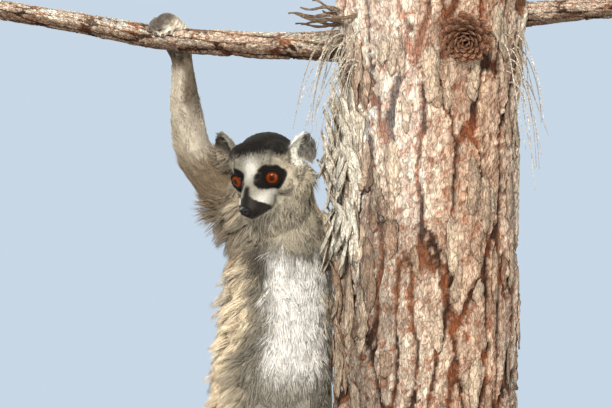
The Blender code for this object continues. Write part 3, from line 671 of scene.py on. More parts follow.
def head_markings(p, h):
    """Black-brown cap, grey-white forehead, black round the eyes, dark muzzle with its stripe, pale cheeks."""
    f, l, u = h.T
    side = np.abs(l)
    fuzz = waves(p, 0.006, 3)
    fine = waves(p, 0.0025, 4)
    col = np.tile(np.array(PALE), (len(p), 1))
    col = tint(col, CREAM, 0.5 * step(fuzz, 0.0, 0.9))
    # temples, cheeks and the ruff: buff grey, paler again towards the back of the cheek
    col = tint(col, (0.37, 0.315, 0.235), step(side + 1.5 * fuzz, 18, 25) * step(f, 0, -8) * 0.9)
    col = tint(col, (0.78, 0.68, 0.51), step(side, 20, 28) * step(u, 6, -8) * step(f, -8, -22) * 0.9)
    # throat painted paler where the head shades it: painted light; and the nape
    col = tint(col, (0.60, 0.53, 0.41), step(u, -24, -29) * step(f, 4, -8) * 0.85)
    col = tint(col, GREY, step(f, -42, -56) * step(u, -16, -4))
    # brightest in the middle of the forehead and down the bridge, and beside the muzzle
    col = tint(col, WHITE, np.exp(-(l / 5.5) ** 2 - ((u - 11) / 7) ** 2) * step(f, -20, -4) * 1.5)
    col = tint(col, WHITE, np.exp(-((side - 10) / 5.5) ** 2 - ((u + 14) / 6.0) ** 2) * step(f, -14, -4) * 1.1)
    # cap
    rel = (h - (-28, 0, 2)) / 31.5
    brow = rel[:, 2] + 0.045 * fuzz + 0.02 * fine
    front = 0.535 + 0.03 * step(side, 0, 10) - 0.16 * step(side, 13, 27)
    edge = mix(front, -0.25, step(rel[:, 0], 0.30, -0.95))
    cap = step(brow, edge - 0.06, edge + 0.07) * step(np.abs(rel[:, 1]), 1.00, 0.90) * (f > -64)
    cap_colour = mix(np.array((0.010, 0.008, 0.0065)), np.array((0.060, 0.046, 0.033)), step(f, -34, -58)[:, None])
    col = mix(col, cap_colour, cap[:, None])
    # thin line from the cap down to the black of the eye
    line = np.exp(-((side - 17.5 - 0.1 * (u - 14) + 0.4 * fuzz) / 1.2) ** 2)
    line = line * step(u, 8, 10) * step(u, 26, 22) * (f > -26)
    col = tint(col, (0.06, 0.05, 0.042), line * 0.65)
    # black round the eyes: an egg, pointed towards the cap, with a broken inner corner
    across = side - 17.0
    rise = u - np.where(l > 0, 0.40, 0.05) * np.clip(-across, 0, 14)
    tall = np.where(rise > 0, 11.0, 12.0)
    wide = np.where(across < 0, 13.0, 8.8) * np.where(rise > 0, 1 - 0.028 * np.clip(rise, 0, 20), 1)
    egg = np.sqrt((across / wide) ** 2 + ((rise - 0.5) / tall) ** 2) + 0.05 * fuzz + 0.025 * fine
    eye = step(egg, 1.08, 0.90) * (f > -26)
    col = tint(col, BLACK, eye)
    col = tint(col, (0.15, 0.135, 0.11),
               eye * step(across, -7.0, -12.5) * step(rise, -8, 5) * step(fine, -0.6, 0.7) * 0.6)
    # grey hairs scattered in the upper and outer forehead, and over the inner corner of the eye patch
    col = tint(col, (0.14, 0.125, 0.095), step(fine + 0.4 * fuzz, -0.2, 0.9) * step(side, 5, 13) * step(u, 3, 12) * 0.6
               * (1 - cap) * (1 - eye))
    # muzzle: dark below a line that falls from the nose to the corner of the mouth, and a stripe up its bridge
    brink = -11.0 - (19 - f) * 0.90 + 0.8 * fine
    dark = np.maximum(step(u - brink, 1.2, -0.9) * step(f, -1.0, 2.5), step(f + 0.7 * fine, 18.0, 20.5))
    col = tint(col, MUZZLE, dark * step(u, -30.5, -28.0))
    col = tint(col, MUZZLE, np.exp(-(l / (1.4 + 0.17 * np.clip(f - 6, 0, 20))) ** 4) * step(f, 11.0, 14.5) * (u > -20))
    # a painted highlight, a sheen, on the sides of the muzzle's bridge, and the pale line of the chin
    col = tint(col, (0.040, 0.035, 0.031), dark * np.exp(-((side - 5.5) / 2.2) ** 2) * step(u, -20, -15) * 0.8)
    col = tint(col, (0.36, 0.33, 0.28), np.exp(-((u + 29.5) / 1.5) ** 2) * step(f, 2, 8) * step(side, 10, 5) * 0.7)
    # dark notch in front of the lower edge of the ear
    notch = np.exp(-((side - 30) / 2.2) ** 2 - ((u + 6) / 4.0) ** 2 - ((f + 20) / 7.0) ** 2)
    return tint(col, (0.06, 0.05, 0.04), notch * 0.8)


def ear_markings(p, h):
    """Pale ears, the left one whiter, with a bare dark hollow towards the outer rim."""
    col = mix(np.array((0.29, 0.265, 0.21)), np.array((1.0, 0.98, 0.88)), step(h[:, 1], -20, 20)[:, None])
    for side, place in EARS.items():
        root, tip, out = (np.array(v, float) for v in place)
        rise = unit(tip - root)
        out = unit(out - rise * (out @ rise))
        across = np.cross(rise, out) * side
        rel = h - root
        x, y, z = rel @ across, rel @ out, rel @ rise
        here = h[:, 1] * side > 0
        outer = -1 if np.array([0, side, 0]) @ across < 0 else 1
        hollow = step(x * outer, -3.5, -0.5) * step(z + 0.35 * x * outer, 0, 4) * step(z, 30, 26)
        ruffled = 0.90 + 0.10 * waves(p, 0.003, 13)
        col = tint(col, (0.018, 0.015, 0.012), here * hollow * ruffled
                   * np.maximum(step(y, -11.5, -9.5), step(x * outer, 6, 9)))
    return col


def torso_markings(p):
    """White breast and belly, grey chest, buff flanks, grey-brown back."""
    rel = p - spine_at(p[:, 2])
    front, side = rel @ BELLY_WAY, rel @ BELLY_SIDE
    turn = np.degrees(np.arctan2(side, front)) + 9 * waves(p, 0.030, 5) + 4 * waves(p, 0.008, 6)
    z = p[:, 2]
    col = np.tile(np.array((0.30, 0.255, 0.185)), (len(p), 1))
    # back: grey-brown, darker along the middle
    col = tint(col, (0.235, 0.195, 0.145), step(np.abs(turn), 135, 170))
    # flanks
    near = 14 * np.exp(-((z - 0.525) / 0.028) ** 2)
    col = tint(col, BUFF, step(np.abs(turn), 48 - near, 68 - near) * step(np.abs(turn), 128, 100) * step(z, 0.36, 0.42))
    rusty = step(waves(p, 0.014, 16), 0.2, 1.2) * step(np.abs(turn), 66, 80) * step(np.abs(turn), 120, 100)
    col = tint(col, (0.62, 0.40, 0.23), rusty * step(z, 0.36, 0.42) * 0.7)
    # underside: grey at the chest, the neck painted paler where the head shades it (painted light), white from the
    # breast down
    under = step(np.abs(turn), 62 - near, 46 - near)
    grey_white = mix(np.array((0.13, 0.118, 0.092)), np.array((0.27, 0.245, 0.195)), step(z, 0.545, 0.50)[:, None])
    col = mix(col, grey_white, under[:, None])
    # painted light: the neck below the head is painted paler than the chest
    col = mix(col, np.array((0.44, 0.39, 0.30)), (under * step(z + 0.006 * waves(p, 0.012, 17), 0.563, 0.580))[:, None])
    patch = step(np.abs(turn - 4), 44, 30) * step(z + 0.010 * waves(p, 0.02, 7), 0.572, 0.548)
    # painted shade: the white fades almost away low on the belly
    col = tint(col, (0.86, 0.84, 0.79), patch * mix(1.0, 0.08, step(z, 0.478, 0.448)))
    # brown fringe in the armpit
    pit = np.exp(-(np.linalg.norm(p - mix(sh_r, spine[1], 0.25) + (0, 0.01, 0.022), axis=1) / 0.030) ** 2)
    return tint(col, (0.13, 0.095, 0.06), pit * 0.85)


TAIL = np.array(tail)
RINGS = 13


def tail_place(p):
    """How far along the tail each point lies, from 0 at the root to 1 at the tip."""
    best, place, done = np.full(len(p), 9.0), np.zeros(len(p)), 0.0
    for a, b in zip(TAIL, TAIL[1:]):
        t = np.clip((p - a) @ (b - a) / ((b - a) @ (b - a)), 0, 1)
        d = np.linalg.norm(p - a - t[:, None] * (b - a), axis=1)
        place = np.where(d < best, done + t * np.linalg.norm(b - a), place)
        best = np.minimum(best, d)
        done += np.linalg.norm(b - a)
    return place / done


def tail_markings(p):
    """Dark rings on white and a black tip; the first ring of RINGS fades into the grey of the tail's root."""
    s = tail_place(p) + 0.006 * waves(p, 0.012, 8)
    beat = np.cos(2 * math.pi * (s * (RINGS + 0.75) - 0.15))
    dark = np.maximum(step(beat, -0.16, 0.16), step(s, 0.945, 0.955))
    col = np.tile(np.array((0.62, 0.58, 0.50)), (len(p), 1))
    col = tint(col, (0.016, 0.014, 0.013), dark)
    return tint(col, (0.28, 0.25, 0.20), step(s, 0.05, 0.0) * 0.9)


def wrist_shade(p, side):
    """Dark bare skin of the right wrist with the branch's shadow painted over it: 0.9 just under the branch it holds,
    fading down, up and towards the body.
    """
    under = step(p[:, 2], 0.712, 0.722) * step(p[:, 2], 0.745, 0.737)
    return under * step(p[:, 0], -0.160, -0.167) * (0.9 if side == "right" else 0.0)


def limb_markings(p, n, side, kind):
    """Grey-buff outside, paler inside; the arms brown near the body, partly painted shade, and painted shade inside the
    forearm to the wrist.
    """
    inner = BELLY_WAY * 0.8 + BELLY_SIDE * (0.6 if side == "right" else -0.6)
    facing = n @ unit(inner) + 0.15 * waves(p, 0.012, 10)
    if kind == "arm":
        shoulder, elbow, wrist = (sh_r, el_r, wr_r) if side == "right" else (sh_l, el_l, wr_l)
        col = mix(np.array((0.33, 0.275, 0.195)), np.array((0.52, 0.46, 0.37)), step(facing, -0.4, 0.6)[:, None])
        high = step(np.linalg.norm(p - wrist, axis=1), 0.085, 0.045)
        col = tint(col, (0.54, 0.475, 0.38), high * 0.75)
        # brown near the shoulder and down the upper arm to the elbow: partly the arm's own colour, partly painted shade
        col = tint(col, (0.23, 0.18, 0.12), step(np.linalg.norm(p - shoulder, axis=1), 0.050, 0.02) * 0.7)
        lower = 0.004 * waves(p, 0.010, 14) + p @ unit(wrist - shoulder) - elbow @ unit(wrist - shoulder)
        col = tint(col, (0.18, 0.13, 0.08), step(lower, 0.014, -0.016) * 0.88)
        # painted shade inside the forearm towards the wrist, on the side turned away from the light
        inside = n @ (BELLY_SIDE * (1 if side == "right" else -1)) + 0.2 * waves(p, 0.008, 15)
        shade = step(np.linalg.norm(p - wrist, axis=1) + 0.006 * waves(p, 0.010, 18), 0.074, 0.030)
        shade = shade * step(inside, -0.75, -0.05)
        col = tint(col, (0.12, 0.093, 0.063), shade * 0.95)
        # the dark skin of the right wrist with the branch's painted shadow on it
        col = tint(col, WRIST_SKIN_AND_SHADOW, wrist_shade(p, side))
        # small dark gland streak on the inner forearm
        along = unit(wrist - elbow)
        spot = mix(elbow, wrist, 0.58)
        rel = p - spot
        across = np.linalg.norm(rel - (rel @ along)[:, None] * along - unit(inner) * 0.012, axis=1)
        mark = np.exp(-(across / 0.0045) ** 2 - ((rel @ along) / 0.006) ** 2)
        return tint(col, (0.10, 0.075, 0.05), mark * 0.8)
    col = mix(np.array((0.33, 0.285, 0.21)), np.array((0.60, 0.55, 0.45)), step(facing, -0.2, 0.7)[:, None])
    return tint(col, (0.50, 0.46, 0.37), step(p[:, 2], 0.26, 0.20) * 0.6)


def paw_markings(p, n, region_name):
    """Cream backs, the right hand painted palest as painted light; black soles, palms and finger ends."""
    wrist, tips = {"hand_right": (wr_r, tips_r), "hand_left": (wr_l, tips_l), "foot_right": (an_r, toes_r),
                   "foot_left": (an_l, toes_l)}[region_name]
    grizzle = step(waves(p, 0.0028, 12), -0.5, 0.8)[:, None]
    col = mix(np.array((0.27, 0.20, 0.135)), np.array((0.60, 0.52, 0.40)), grizzle)
    # painted light: the right hand is painted paler, as if lit
    if region_name == "hand_right":
        col = np.minimum(col * (1.45, 1.55, 1.65), 0.82)
    reach = np.linalg.norm(p - wrist, axis=1) / max(np.linalg.norm(tips - wrist), 1e-6)
    hold = {"hand_right": unit(mix(wrist, tips, 0.5) - hand_top), "hand_left": np.array([0, -1.0, 0]),
            "foot_right": np.array([0, 0, -1.0]), "foot_left": np.array([0, 0, -1.0])}[region_name]
    palm = step(n @ hold + 0.1 * waves(p, 0.004, 11), 0.35, 0.75)
    col = tint(col, SKIN_DARK, np.maximum(palm, 0.9 * step(reach, 0.92, 1.10)))
    # the right wrist's dark skin with the branch's painted shadow; nothing on the other paws
    return tint(col, WRIST_SKIN_AND_SHADOW, wrist_shade(p, "right" if region_name == "hand_right" else "left"))


def markings(p, n):
    """Colour of the coat at points of the skin with normals n: each region's own, blended by closeness."""
    closeness = region_of(p)[1]
    h = in_head(p)
    col = np.zeros((len(p), 3))
    weight = np.zeros(len(p))
    near = 1 / np.maximum(closeness, 0.08) ** 10
    near /= near.sum(1, keepdims=True)
    for k, name in enumerate(REGIONS):
        share = near[:, BONE_REGION == k].sum(1)
        use = share > 0.01
        if not use.any():
            continue
        q, m = p[use], n[use]
        if name == "head":
            c = head_markings(q, h[use])
        elif name.startswith("ear"):
            c = ear_markings(q, h[use])
        elif name == "torso":
            c = torso_markings(q)
        elif name == "tail":
            c = tail_markings(q)
        elif name.startswith(("arm", "leg")):
            c = limb_markings(q, m, name[4:], name[:3])
        else:
            c = paw_markings(q, m, name)
        col[use] += c * share[use, None]
        weight[use] += share[use]
    return col / weight[:, None]


def lie(p, n):
    """Direction, length, lift and half width of the hair at points: rows of unit vectors, metres, radians, metres.

    On the body hair runs along the bones and sags a little; on the face it runs away from the nose and the eyes.
    """
    region, closeness = region_of(p)
    name = np.array(REGIONS)[region]
    h = in_head(p)
    way = lie_of_bones(closeness)
    head = np.isin(name, ["head"])
    away = unit(h - (31, 0, -13)) @ HEAD
    for side in (1, -1):
        d = h - (-3, side * 17.0, 0)
        away = away + (unit(d) @ HEAD) * (0.9 * np.exp(-np.linalg.norm(d, axis=1) ** 2 / 260))[:, None]
    back = step(h[:, 0], -34, -60)
    way = np.where(head[:, None], mix(unit(away), way, back[:, None]), way)
    down = np.array([0, 0, -1.0])
    torso, tail_hair = name == "torso", name == "tail"
    arm, leg = np.char.startswith(name, "arm"), np.char.startswith(name, "leg")
    paw = np.char.startswith(name, "hand") | np.char.startswith(name, "foot")
    ear = np.char.startswith(name, "ear")
    way = way + down * np.select([torso, leg], [0.35, 0.3], 0.0)[:, None]
    # the right flank and the underside of the raised arm: long hair combed out and down
    rel = p - spine_at(p[:, 2])
    turn = np.degrees(np.arctan2(rel @ BELLY_SIDE, rel @ BELLY_WAY))
    flank = torso * step(turn, -25, -62) * step(turn, -178, -120) * step(p[:, 2], 0.37, 0.42)
    under_arm = (np.char.endswith(name, "right") & arm) * step(n[:, 0], 0.1, -0.5) * step(p[:, 2], 0.612, 0.596)
    shag = np.maximum(flank, under_arm)
    way = way + np.array([-1.2, -0.2, -0.3]) * shag[:, None]
    way = way - n * np.einsum("ij,ij->i", way, n)[:, None]
    way = unit(way)
    length = np.select([torso, tail_hair, arm, leg, paw, ear, head], [17, 17, 11, 12, 4.4, 5.6, 5.5], 10.0)
    lift = np.select([torso, tail_hair, arm, leg, paw, ear, head], [25, 38, 17, 18, 17, 26, 15], 20.0)
    wide = np.select([torso, tail_hair, arm, leg, paw, ear, head], [.50, .48, .38, .42, .22, .25, .27], 0.4)
    # shorter towards the wrists and ankles
    ends = np.minimum.reduce([np.linalg.norm(p - q, axis=1) for q in (wr_r, wr_l, an_r, an_l)])
    length = np.where(arm | leg, length * mix(0.55, 1.0, step(ends, 0.0, 0.07)), length)
    length = mix(length, 21.0, shag)
    wide = mix(wide, 0.42, shag)
    lift = mix(lift, 52.0, shag)
    reach = np.minimum.reduce([np.linalg.norm(p - q, axis=1) for q in (tips_r, tips_l, toes_r, toes_l)])
    length = np.where(paw, length * mix(0.35, 1.0, step(reach, 0.006, 0.022)), length)
    # the face: hardly any hair on the muzzle, longer towards the cheeks and the nape
    face = mix(1.2, 5.0, step(np.linalg.norm(h - (24, 0, -17), axis=1), 8, 34))
    face = mix(face, 10.5, step(h[:, 0], -16, -38) * step(h[:, 2], 8, -10))
    face = mix(face, 8.0, step(h[:, 0], -30, -60))
    for side in (1, -1):
        face = face * mix(0.36, 1.0, step(np.linalg.norm(h - (-1, side * 16.6, 0), axis=1), 9, 17))
    length = np.where(head, face, length)
    wide = np.where(head, mix(0.17, 0.40, step(face, 1.5, 9)), wide)
    lift = np.where(head, mix(13.0, 21.0, step(face, 5, 12)), lift)
    # tail: fuller in the middle, a short brush at the tip
    s = tail_place(p)
    length = np.where(tail_hair, length * mix(0.8, 1.0, step(s, 0, 0.15)), length)
    return way, length * MM, np.radians(lift), wide * MM


STRIPS = {"torso": (0.00, 0.26), "head": (0.26, 0.50), "tail": (0.50, 0.63), "leg_right": (0.63, 0.72),
          "leg_left": (0.72, 0.81), "arm_right": (0.81, 0.88), "arm_left": (0.88, 0.95), "ear_right": (0.95, 0.975),
          "ear_left": (0.975, 1.0)}


def unwrap(p):
    """The skin's own unwrap: one strip for each limb, u the angle round its bones and v the place along them."""
    name = np.array(REGIONS)[region_of(p)[0]]
    uv = np.zeros((len(p), 2))
    lines = {"torso": [b for b in BONES if b[0] == "torso"], "tail": [b for b in BONES if b[0] == "tail"]}
    for side in ("right", "left"):
        lines[f"arm_{side}"] = [b for b in BONES if b[0] in (f"arm_{side}", f"hand_{side}")]
        lines[f"leg_{side}"] = [b for b in BONES if b[0] in (f"leg_{side}", f"foot_{side}")]
        lines[f"ear_{side}"] = [b for b in BONES if b[0] == f"ear_{side}"]
    for strip, bones in lines.items():
        use = np.isin(name, [b[0] for b in bones])
        if not use.any():
            continue
        q = p[use]
        total = sum(np.linalg.norm(b[2] - b[1]) for b in bones)
        best, v, u, done = np.full(len(q), 9.0), np.zeros(len(q)), np.zeros(len(q)), 0.0
        for _, a, b, _ in bones:
            run = b - a
            t = np.clip((q - a) @ run / (run @ run), -0.6 if a is bones[0][1] else 0, 1.4 if b is bones[-1][2] else 1)
            rel = q - a - t[:, None] * run
            d = np.linalg.norm(rel, axis=1)
            x = unit(np.cross(run, (0.2, 0.1, 1.0) if abs(unit(run)[2]) < 0.9 else (1.0, 0.2, 0.1)))
            y = np.cross(unit(run), x)
            u = np.where(d < best, np.arctan2(rel @ y, rel @ x) / (2 * math.pi) + 0.5, u)
            v = np.where(d < best, (done + t * np.linalg.norm(run)) / total, v)
            best = np.minimum(best, d)
            done += np.linalg.norm(run)
        low, high = STRIPS[strip]
        uv[use] = np.stack([low + 0.003 + u * (high - low - 0.006), 0.2 + 0.6 * np.clip(v, -0.3, 1.3)], -1)
    use = name == "head"
    h = in_head(p[use]) - (-14, 0, -4)
    low, high = STRIPS["head"]
    polar = np.arccos(np.clip(unit(h)[:, 0], -1, 1)) / math.pi
    round_ = np.arctan2(h[:, 1], h[:, 2]) / (2 * math.pi) + 0.5
    uv[use] = np.stack([low + 0.003 + round_ * (high - low - 0.006), 0.03 + 0.94 * polar], -1)
    return uv


# ================================================================ coat

def roots_on(count, density):
    """Random places on the skin: triangles drawn by area times density, a random point in each."""
    share = np.cumsum(AREA * density[TRIS].mean(1))
    pick = np.searchsorted(share, rng.random(count) * share[-1])
    a, b = np.sqrt(rng.random(count)), rng.random(count)
    weight = np.stack([1 - a, a * (1 - b), a * b], -1)[..., None]
    corner = TRIS[np.minimum(pick, len(TRIS) - 1)]
    return (SKIN[corner] * weight).sum(1), unit((NORMAL[corner] * weight).sum(1))


def locks(p, every):
    """For each root, the number of the hair in the middle of its lock."""
    count = max(len(p) // every, 1)
    tree = KDTree(count)
    for i in range(count):
        tree.insert(p[i], i)
    tree.balance()
    return np.array([tree.find(q)[1] for q in p])


def tufts(name, p, n, rings, every, pull, kinds=1.0):
    """Joined closed spikes, one at each root p.

    A spike's middle line is p + L (cos a D + sin a N) t + bend t^2, where D is the lie, N the skin's normal and a
    the lift; the bend turns it back along the skin and a little down, and t^1.6 of the way to the tip of the
    middle hair of its lock is added.  Its section is a flat triangle whose width goes as (1 - t)^0.7.
    """
    count = len(p)
    way, length, lift, wide = lie(p, n)
    length = length * kinds * rng.uniform(0.72, 1.18, count)
    wide = wide * rng.uniform(0.75, 1.25, count)
    own = locks(p, every)
    swing = rng.normal(0, 1, (count, 3))
    shared = swing[own]
    way = unit(way + 0.10 * swing + 0.22 * shared)
    way = unit(way - n * np.einsum("ij,ij->i", way, n)[:, None])
    lift = lift * (1 + 0.25 * shared[:, 0] * 0.6 + 0.12 * swing[:, 1])
    lift = np.clip(lift, 0.06, 1.1)
    length = length * (1 + 0.14 * np.clip(shared[:, 1], -1.5, 1.5))
    flat = np.cross(way, n)
    t = np.linspace(0, 1, rings + 1)[:-1]
    base = p - n * 0.6 * MM
    run = way * np.cos(lift)[:, None] + n * np.sin(lift)[:, None]
    bend = -n * (np.sin(lift) * mix(0.55, 0.22, step(lift, 0.6, 0.95)))[:, None] + np.array([0, 0, -0.06])
    end = base + length[:, None] * (run + bend)
    towards = (end[own] - end) * (pull * rng.uniform(0.6, 1.0, count))[:, None]
    stations = [base + length[:, None] * (run * s + bend * s * s) + towards * s ** 1.6 for s in (*t, 1.0)]
    spin = np.array([0, 2.2, 4.1])
    verts = []
    for s, at in zip(t, stations):
        size = wide * (1 - s) ** 0.7 * (0.8 if s == 0 else 1.0)
        ring = [at + flat * (size * math.cos(a))[:, None] + n * (size * 0.55 * math.sin(a))[:, None] for a in spin]
        verts.append(np.stack(ring, 1))
    verts.append(stations[-1][:, None])
    verts = np.concatenate(verts, 1)
    per = verts.shape[1]
    k = len(t)
    quads, tris = [], [[0, 2, 1]]
    for r in range(k - 1):
        for c in range(3):
            a, b = r * 3 + c, r * 3 + (c + 1) % 3
            quads.append([a, b, b + 3, a + 3])
    for c in range(3):
        tris.append([(k - 1) * 3 + c, (k - 1) * 3 + (c + 1) % 3, k * 3])
    offset = (np.arange(count) * per)[:, None, None]
    quads = (np.array(quads) + offset).reshape(-1, 4)
    tris = (np.array(tris) + offset).reshape(-1, 3)
    obj = new_piece(name, verts.reshape(-1, 3), [quads, tris])
    colour = markings(p, n)
    tone = rng.normal(1, 0.2 if name.startswith("coat_paws") else 0.10, count)
    tone = tone * (1 + 0.07 * np.clip(shared[:, 2], -1.6, 1.6))
    fade = np.concatenate([np.repeat(0.74 + 0.34 * t, 3), [1.12]])
    shade = colour[:, None] * np.clip(tone, 0.6, 1.4)[:, None, None] * fade[None, :, None]
    paint(obj, "coat", shade.reshape(-1, 3))
    place = unwrap(p)
    across = np.concatenate([np.tile([-0.0015, 0.0, 0.0015], k), [0.0]])
    along = np.concatenate([np.repeat(t, 3), [1.0]]) * 0.003 - 0.0015
    uv = place[:, None] + np.stack([across, along], -1)[None]
    loops = np.empty(len(obj.data.loops), int)
    obj.data.loops.foreach_get("vertex_index", loops)
    layer = obj.data.uv_layers.new(name="OFBake")
    layer.data.foreach_set("uv", uv.reshape(-1, 2)[loops].ravel())
    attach(obj, "root")
    return obj


PIECE_TRIANGLES = 190000        # a piece of the coat has fewer


def grow(name, count, chosen, rings, every, pull, density=None, kinds=1.0):
    """Tufts over the chosen points of the skin, in pieces of fewer than 200,000 triangles."""
    weight = chosen.astype(float) * (1.0 if density is None else density)
    p, n = roots_on(count, weight)
    per = (1 + 6 * (rings - 1) + 3)
    most = PIECE_TRIANGLES // per
    made = []
    for k, part in enumerate(np.array_split(np.arange(count), count // most + 1)):
        made.append(tufts(f"{name}_{k + 1}", p[part], n[part], rings, every, pull, kinds))
    return made


skin_name = np.array(REGIONS)[region_of(SKIN)[0]]
skin_colour = markings(SKIN, NORMAL)
paint(skin, "coat", skin_colour * 0.86)
skin_uv = unwrap(SKIN)
loop_of = np.empty(len(skin.data.loops), int)
skin.data.loops.foreach_get("vertex_index", loop_of)
skin.data.uv_layers.new(name="OFBake").data.foreach_set("uv", skin_uv[loop_of].ravel())

HEAD_H = in_head(SKIN)
bare = np.linalg.norm(HEAD_H - (-2.5, 16.6, 0), axis=1) < 8.6
bare |= np.linalg.norm(HEAD_H - (-2.5, -16.6, 0), axis=1) < 8.6
bare |= np.linalg.norm(HEAD_H - (25.8, 0, -17.4), axis=1) < 6.0
is_head = (skin_name == "head") & ~bare
is_ear = np.char.startswith(skin_name, "ear")
is_torso = skin_name == "torso"
is_limb = np.char.startswith(skin_name, "arm") | np.char.startswith(skin_name, "leg")
is_paw = np.char.startswith(skin_name, "hand") | np.char.startswith(skin_name, "foot")
is_tail = skin_name == "tail"
thin_out = 1.0
face_near = mix(1.0, 2.6, step(HEAD_H[:, 0], -30, 0))
arm_near = 1 + 0.6 * (skin_name == "arm_right")
coat = []
flank_side = SKIN - spine_at(SKIN[:, 2])
flank_turn = np.degrees(np.arctan2(flank_side @ BELLY_SIDE, flank_side @ BELLY_WAY))
is_flank = is_torso & (flank_turn < -40) & (flank_turn > -165) & (SKIN[:, 2] > 0.38)
coat += grow("coat_torso", int(23000 * thin_out), is_torso & ~is_flank, 3, 16, 0.55)
coat += grow("coat_flank", int(11500 * thin_out), is_flank, 3, 42, 0.85)
coat += grow("coat_limbs", int(25000 * thin_out), is_limb, 2, 12, 0.35, arm_near)
coat += grow("coat_tail", int(11000 * thin_out), is_tail, 3, 14, 0.35)
coat += grow("coat_head", int(26000 * thin_out), is_head, 2, 8, 0.3, face_near)
ear_near = mix(0.25, 1.0, step(skin_colour[:, 0], 0.06, 0.20))
coat += grow("coat_ears", int(3400 * thin_out), is_ear, 3, 8, 0.35, ear_near)
coat += grow("coat_paws", int(8000 * thin_out), is_paw, 2, 6, 0.25)


# ================================================================ eyes, nose and nails

def eyeball(side):
    """Eyeball with its clear front: rings round the gaze, the front a little bulged over the iris.

    Colour goes by the angle from the gaze: pupil to 9 degrees, iris with fine spokes to 44, a dark rim, dark beyond.
    """
    at, gaze, out, high = eye_frame(side)
    angle = np.radians(np.concatenate([np.linspace(0.8, 50, 44), np.linspace(55, 175, 16)]))[:, None]
    turn = (np.arange(72) * 2 * math.pi / 72)[None]
    bulge = 0.45 * MM * np.clip(1 - (np.degrees(angle) / 46) ** 2, 0, 1)
    radius = EYE_R - 0.15 * MM + bulge + 0 * turn
    way = (np.cos(angle)[..., None] * gaze + np.sin(angle)[..., None] * (np.cos(turn)[..., None] * out
                                                                        + np.sin(turn)[..., None] * high))
    verts = (at + way * radius[..., None]).reshape(-1, 3)
    rows, cols = angle.shape[0], 72
    verts = np.vstack([verts, at + gaze * (EYE_R + 0.3 * MM), at - gaze * EYE_R])
    faces = [grid_faces(rows, cols, wrap=True)[:, ::-1]] + end_fans(rows * cols, cols)
    if side < 0:
        faces = [f[:, ::-1] for f in faces]
    obj = new_piece("eye_left_ball" if side > 0 else "eye_right_ball", verts, faces)
    deg = np.degrees(angle) + 0 * turn
    spokes = sum(np.sin(turn * m + ph) for m, ph in ((17, 0.4), (29, 2.0), (41, 4.4), (53, 1.1))) / 4
    iris = mix(np.array((0.034, 0.0055, 0.0006)), np.array((0.135, 0.022, 0.0012)),
               (step(deg, 12, 26) * step(deg, 46, 30))[..., None])
    iris = iris * (1 + 0.28 * spokes * step(deg, 9, 20) * step(deg, 46, 36))[..., None]
    col = mix(np.array((0.004, 0.004, 0.005)), iris, step(deg, 8.0, 10.5)[..., None])
    col = mix(col, np.array((0.030, 0.012, 0.006)), step(deg, 40.5, 45.0)[..., None])
    paint(obj, "coat", np.vstack([col.reshape(-1, 3), [[0.004] * 3, [0.03, 0.012, 0.006]]]))
    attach(obj, "root")
    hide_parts("eye_left" if side > 0 else "eye_right")
    return obj


def nose_pad():
    """Bare nose: an egg with two comma nostrils pressed in, a groove down its middle and a pebbled skin."""
    rows, cols = 48, 72
    p = small_ball(0.02, rows, cols).reshape(rows, cols, 3)
    x, y, z = p[..., 0], p[..., 1], p[..., 2]
    press = 0.0 * x
    for side in (1, -1):
        hole = np.exp(-(((y - side * 0.50) / 0.17) ** 2 + ((z + 0.12) / 0.22) ** 2)) * (x > 0)
        slit = np.exp(-(((y - side * 0.82) / 0.20) ** 2 + ((z + 0.20 + 0.25 * (side * y - 0.8)) / 0.10) ** 2))
        slit = slit * (x > -0.3)
        press = press - 0.42 * hole - 0.22 * slit
    press = press - 0.16 * np.exp(-(y / 0.07) ** 2) * (z < 0.25) * (x > 0)
    size = (1 + press + 0.06 * np.exp(-((z - 0.6) / 0.3) ** 2))[..., None]
    radii = np.array([4.5, 5.0, 3.9])
    h = np.array([26.6, 0, -17.5]) + p * radii * size
    verts = HEAD_AT + h.reshape(-1, 3) * MM @ HEAD
    verts = np.vstack([verts, verts[:cols].mean(0), verts[-cols:].mean(0)])
    faces = [grid_faces(rows, cols, wrap=True)[:, ::-1]] + end_fans(rows * cols, cols)
    obj = new_piece("nose_pad", verts, faces)
    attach(obj, "root")
    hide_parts("nose")
    return obj


eyes = [eyeball(1), eyeball(-1)]
nose = nose_pad()

# ================================================================ trunk and branches

def cells(u, v, wide, tall, seed, wrap):
    """Cell noise on a cylinder's surface: distance to the nearest and second nearest seed, and the nearest's number.

    u runs round the cylinder up to wrap, v along it; cells are wide by tall.
    """
    turn = np.random.default_rng(seed)
    across, up_ = max(int(round(wrap / wide)), 3), int((v.max() - v.min()) / tall) + 3
    wide = wrap / across
    jitter = turn.uniform(0.08, 0.92, (up_ + 2, across, 2))
    tone = turn.random((up_ + 2, across))
    i = np.floor(u / wide).astype(int)
    j = np.floor((v - v.min()) / tall).astype(int) + 1
    first, second, number = np.full(u.shape, 9.0), np.full(u.shape, 9.0), np.zeros(u.shape)
    for dj in (-1, 0, 1):
        for di in (-1, 0, 1):
            row, col = np.clip(j + dj, 0, up_ + 1), (i + di) % across
            du = (i + di + jitter[row, col, 0]) - u / wide
            dv = (row - 1 + jitter[row, col, 1]) - (v - v.min()) / tall
            d = np.sqrt(du ** 2 + dv ** 2)
            closer = d < first
            second = np.where(closer, first, np.minimum(second, d))
            number = np.where(closer, tone[row, col], number)
            first = np.minimum(first, d)
    return first, second, number


